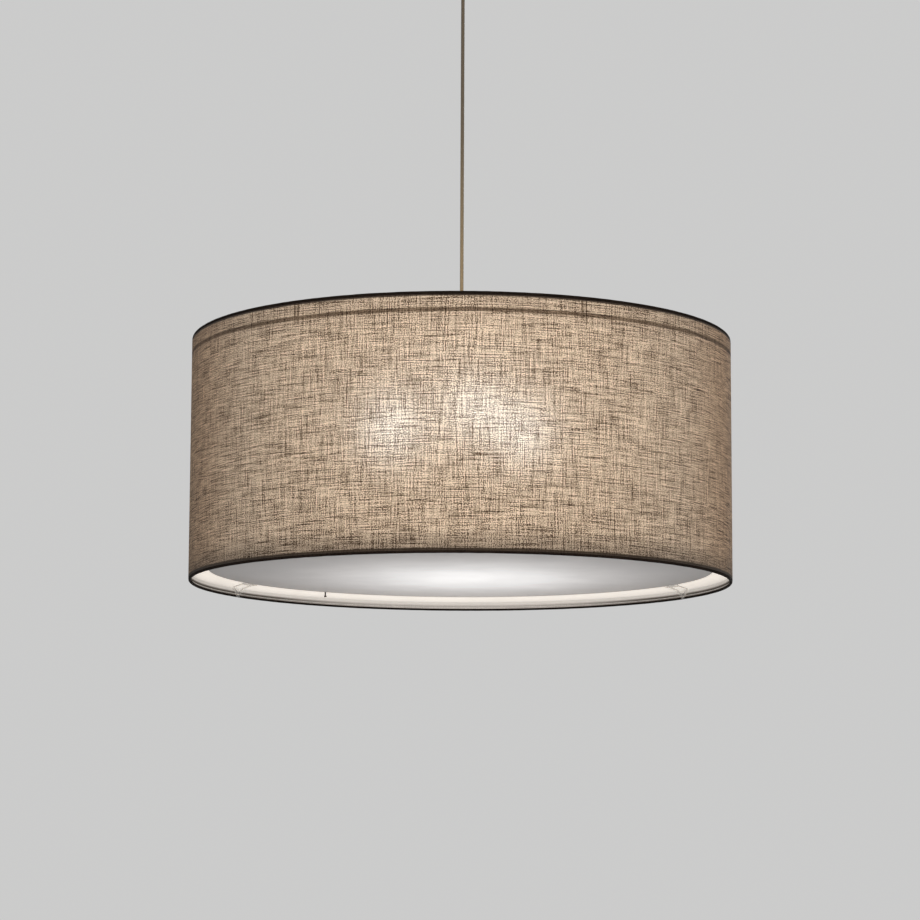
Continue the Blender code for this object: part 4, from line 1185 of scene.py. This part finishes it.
def makeBlock():
    b = blockSizes
    middle = Vector((b["start"] + b["length"] / 2, 0.0, b["top"] - b["height"] / 2))
    size = (b["length"], b["width"], b["height"] * b["baseShare"])
    base = boxMesh(size, middle - upBy(b["height"] * b["baseDrop"]))
    softenEdges(base, b["baseSoft"])
    shares = b["towerShares"]
    size = (b["length"] * shares[0], b["pitch"] * shares[1], b["height"] * shares[2])
    for i in (-1, 0, 1):
        shift = Vector((0.0, i * b["pitch"], b["height"] * b["towerRise"]))
        addMesh(base, softenEdges(boxMesh(size, middle + shift), b["towerSoft"]))
    keepPiece("wireBlock", base, creamPlastic, "terminal_block", "ceiling_rose")


makeCup()
makeThumbScrew(1, -1)
makeThumbScrew(2, 1)
makeGrip()
makeBlock()
print("ceiling rose made")

# carried-over pieces

clipLook = {
    "surface": {"Roughness": 0.22, "Transmission Weight": 0.88, "IOR": 1.12},
    "colours": (160.0, 0.8, (0.84, 0.82, 0.79), (0.66, 0.64, 0.61)), "glow": (0.0, 1.0, 0.03, 0.01),
    "grain": (1200.0, 0.3, 0.00003),
}


def makeClearPlastic():
    # milky clear plastic that glows a little from the light around it
    made, shader, mask = grainyMaterial("clearPlastic", clipLook)
    glowWith(shader, remap(mask, *clipLook["glow"]), (1.0, 1.0, 1.0))
    return made


clearPlastic = makeClearPlastic()
carried = {name: zincSteel for name in ("shade_top_ring", "shade_bottom_ring", "ceiling_bracket")}
carried.update({f"top_clip_{i + 1}": clearPlastic for i in range(6)})
carried.update({f"bottom_clip_{i + 1}": clearPlastic for i in range(3)})
for nodeName, material in carried.items():
    nodes[nodeName].data.materials.clear()
    nodes[nodeName].data.materials.append(material)
print("carried-over pieces finished")

# floor, backdrop and light

studio = {
    "floorLevel": -2.4, "floorRadius": 30.0, "floorColour": (0.30, 0.30, 0.298),
    "floorSpecks": (0.27, 0.27, 0.268), "floorPale": (0.44, 0.44, 0.437),
    # colour and strength of the light from all round, then of the backdrop
    "sky": [((1.0, 0.99, 0.975), 0.17), ((0.60, 0.60, 0.597), 1.0)],
    "sunStrength": 1.0, "sunAngle": 40.0,
    # name, place, power, size
    "lamps": [("frontLamp", (0.40, -4.6, -0.35), 182.0, 2.0), ("backLamp", (0.4, 4.2, 0.2), 120.0, 2.4)],
    "aim": (0.0, 0.0, -0.60),
}


def seenDirectly(tree):
    # 1 to the eye, in reflections and through glass, 0 where light falls on something
    paths = addNode("ShaderNodeLightPath", {}, tree).outputs
    seen = calc("MAXIMUM", paths["Is Camera Ray"], paths["Is Glossy Ray"])
    return calc("MAXIMUM", seen, paths["Is Transmission Ray"])


floorShape = bmesh.new()
bmesh.ops.create_circle(floorShape, cap_ends=True, segments=64, radius=studio["floorRadius"])
moveMesh(floorShape, Matrix.Translation(upBy(studio["floorLevel"])))
floorMesh = bpy.data.meshes.new("studioFloor")
floorShape.to_mesh(floorMesh)
floorShape.free()
studioFloor = newObject("studioFloor", floorMesh)
floorPaint, floorShader = newMaterial("floorPaint", {"Roughness": 0.9})
dustyColour(floorPaint, floorShader, 3.0, 0.25, studio["floorColour"], studio["floorSpecks"])
# paler to the eye and in reflections, while the shadow stays
feed(floorShader["Emission Color"], studio["floorPale"])
feed(floorShader["Emission Strength"], seenDirectly(floorPaint.node_tree))
floorMesh.materials.append(floorPaint)
studioFloor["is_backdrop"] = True

sky = bpy.data.worlds.new("studioSky")
sky.use_nodes = True
skyTree = sky.node_tree
skyTree.nodes.clear()
skyParts = {0: seenDirectly(skyTree)}
for i, (colour, strength) in enumerate(studio["sky"], 1):
    part = addNode("ShaderNodeBackground", {"Color": colour, "Strength": strength}, skyTree)
    skyParts[i] = part.outputs[0]
skyMix = addNode("ShaderNodeMixShader", skyParts)
addNode("ShaderNodeOutputWorld", {"Surface": skyMix.outputs[0]})
scene.world = sky

for name, place, power, size in studio["lamps"]:
    lampData = bpy.data.lights.new(name, "AREA")
    lampData.shape = "SQUARE"
    lampData.size = size
    lampData.energy = power
    lamp = newObject(name, lampData)
    lamp.location = place
    lamp.rotation_euler = (Vector(studio["aim"]) - Vector(place)).to_track_quat("-Z", "Y").to_euler()

sunData = bpy.data.lights.new("ceilingLight", "SUN")
sunData.energy = studio["sunStrength"]
sunData.angle = math.radians(studio["sunAngle"])
newObject("ceilingLight", sunData)

scene.view_settings.view_transform = "Standard"
print("floor, backdrop and light made")

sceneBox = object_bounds()
for label, box in (("cad", cadBox), ("visual", sceneBox)):
    print(label, [round(v, 4) for corner in box for v in corner])
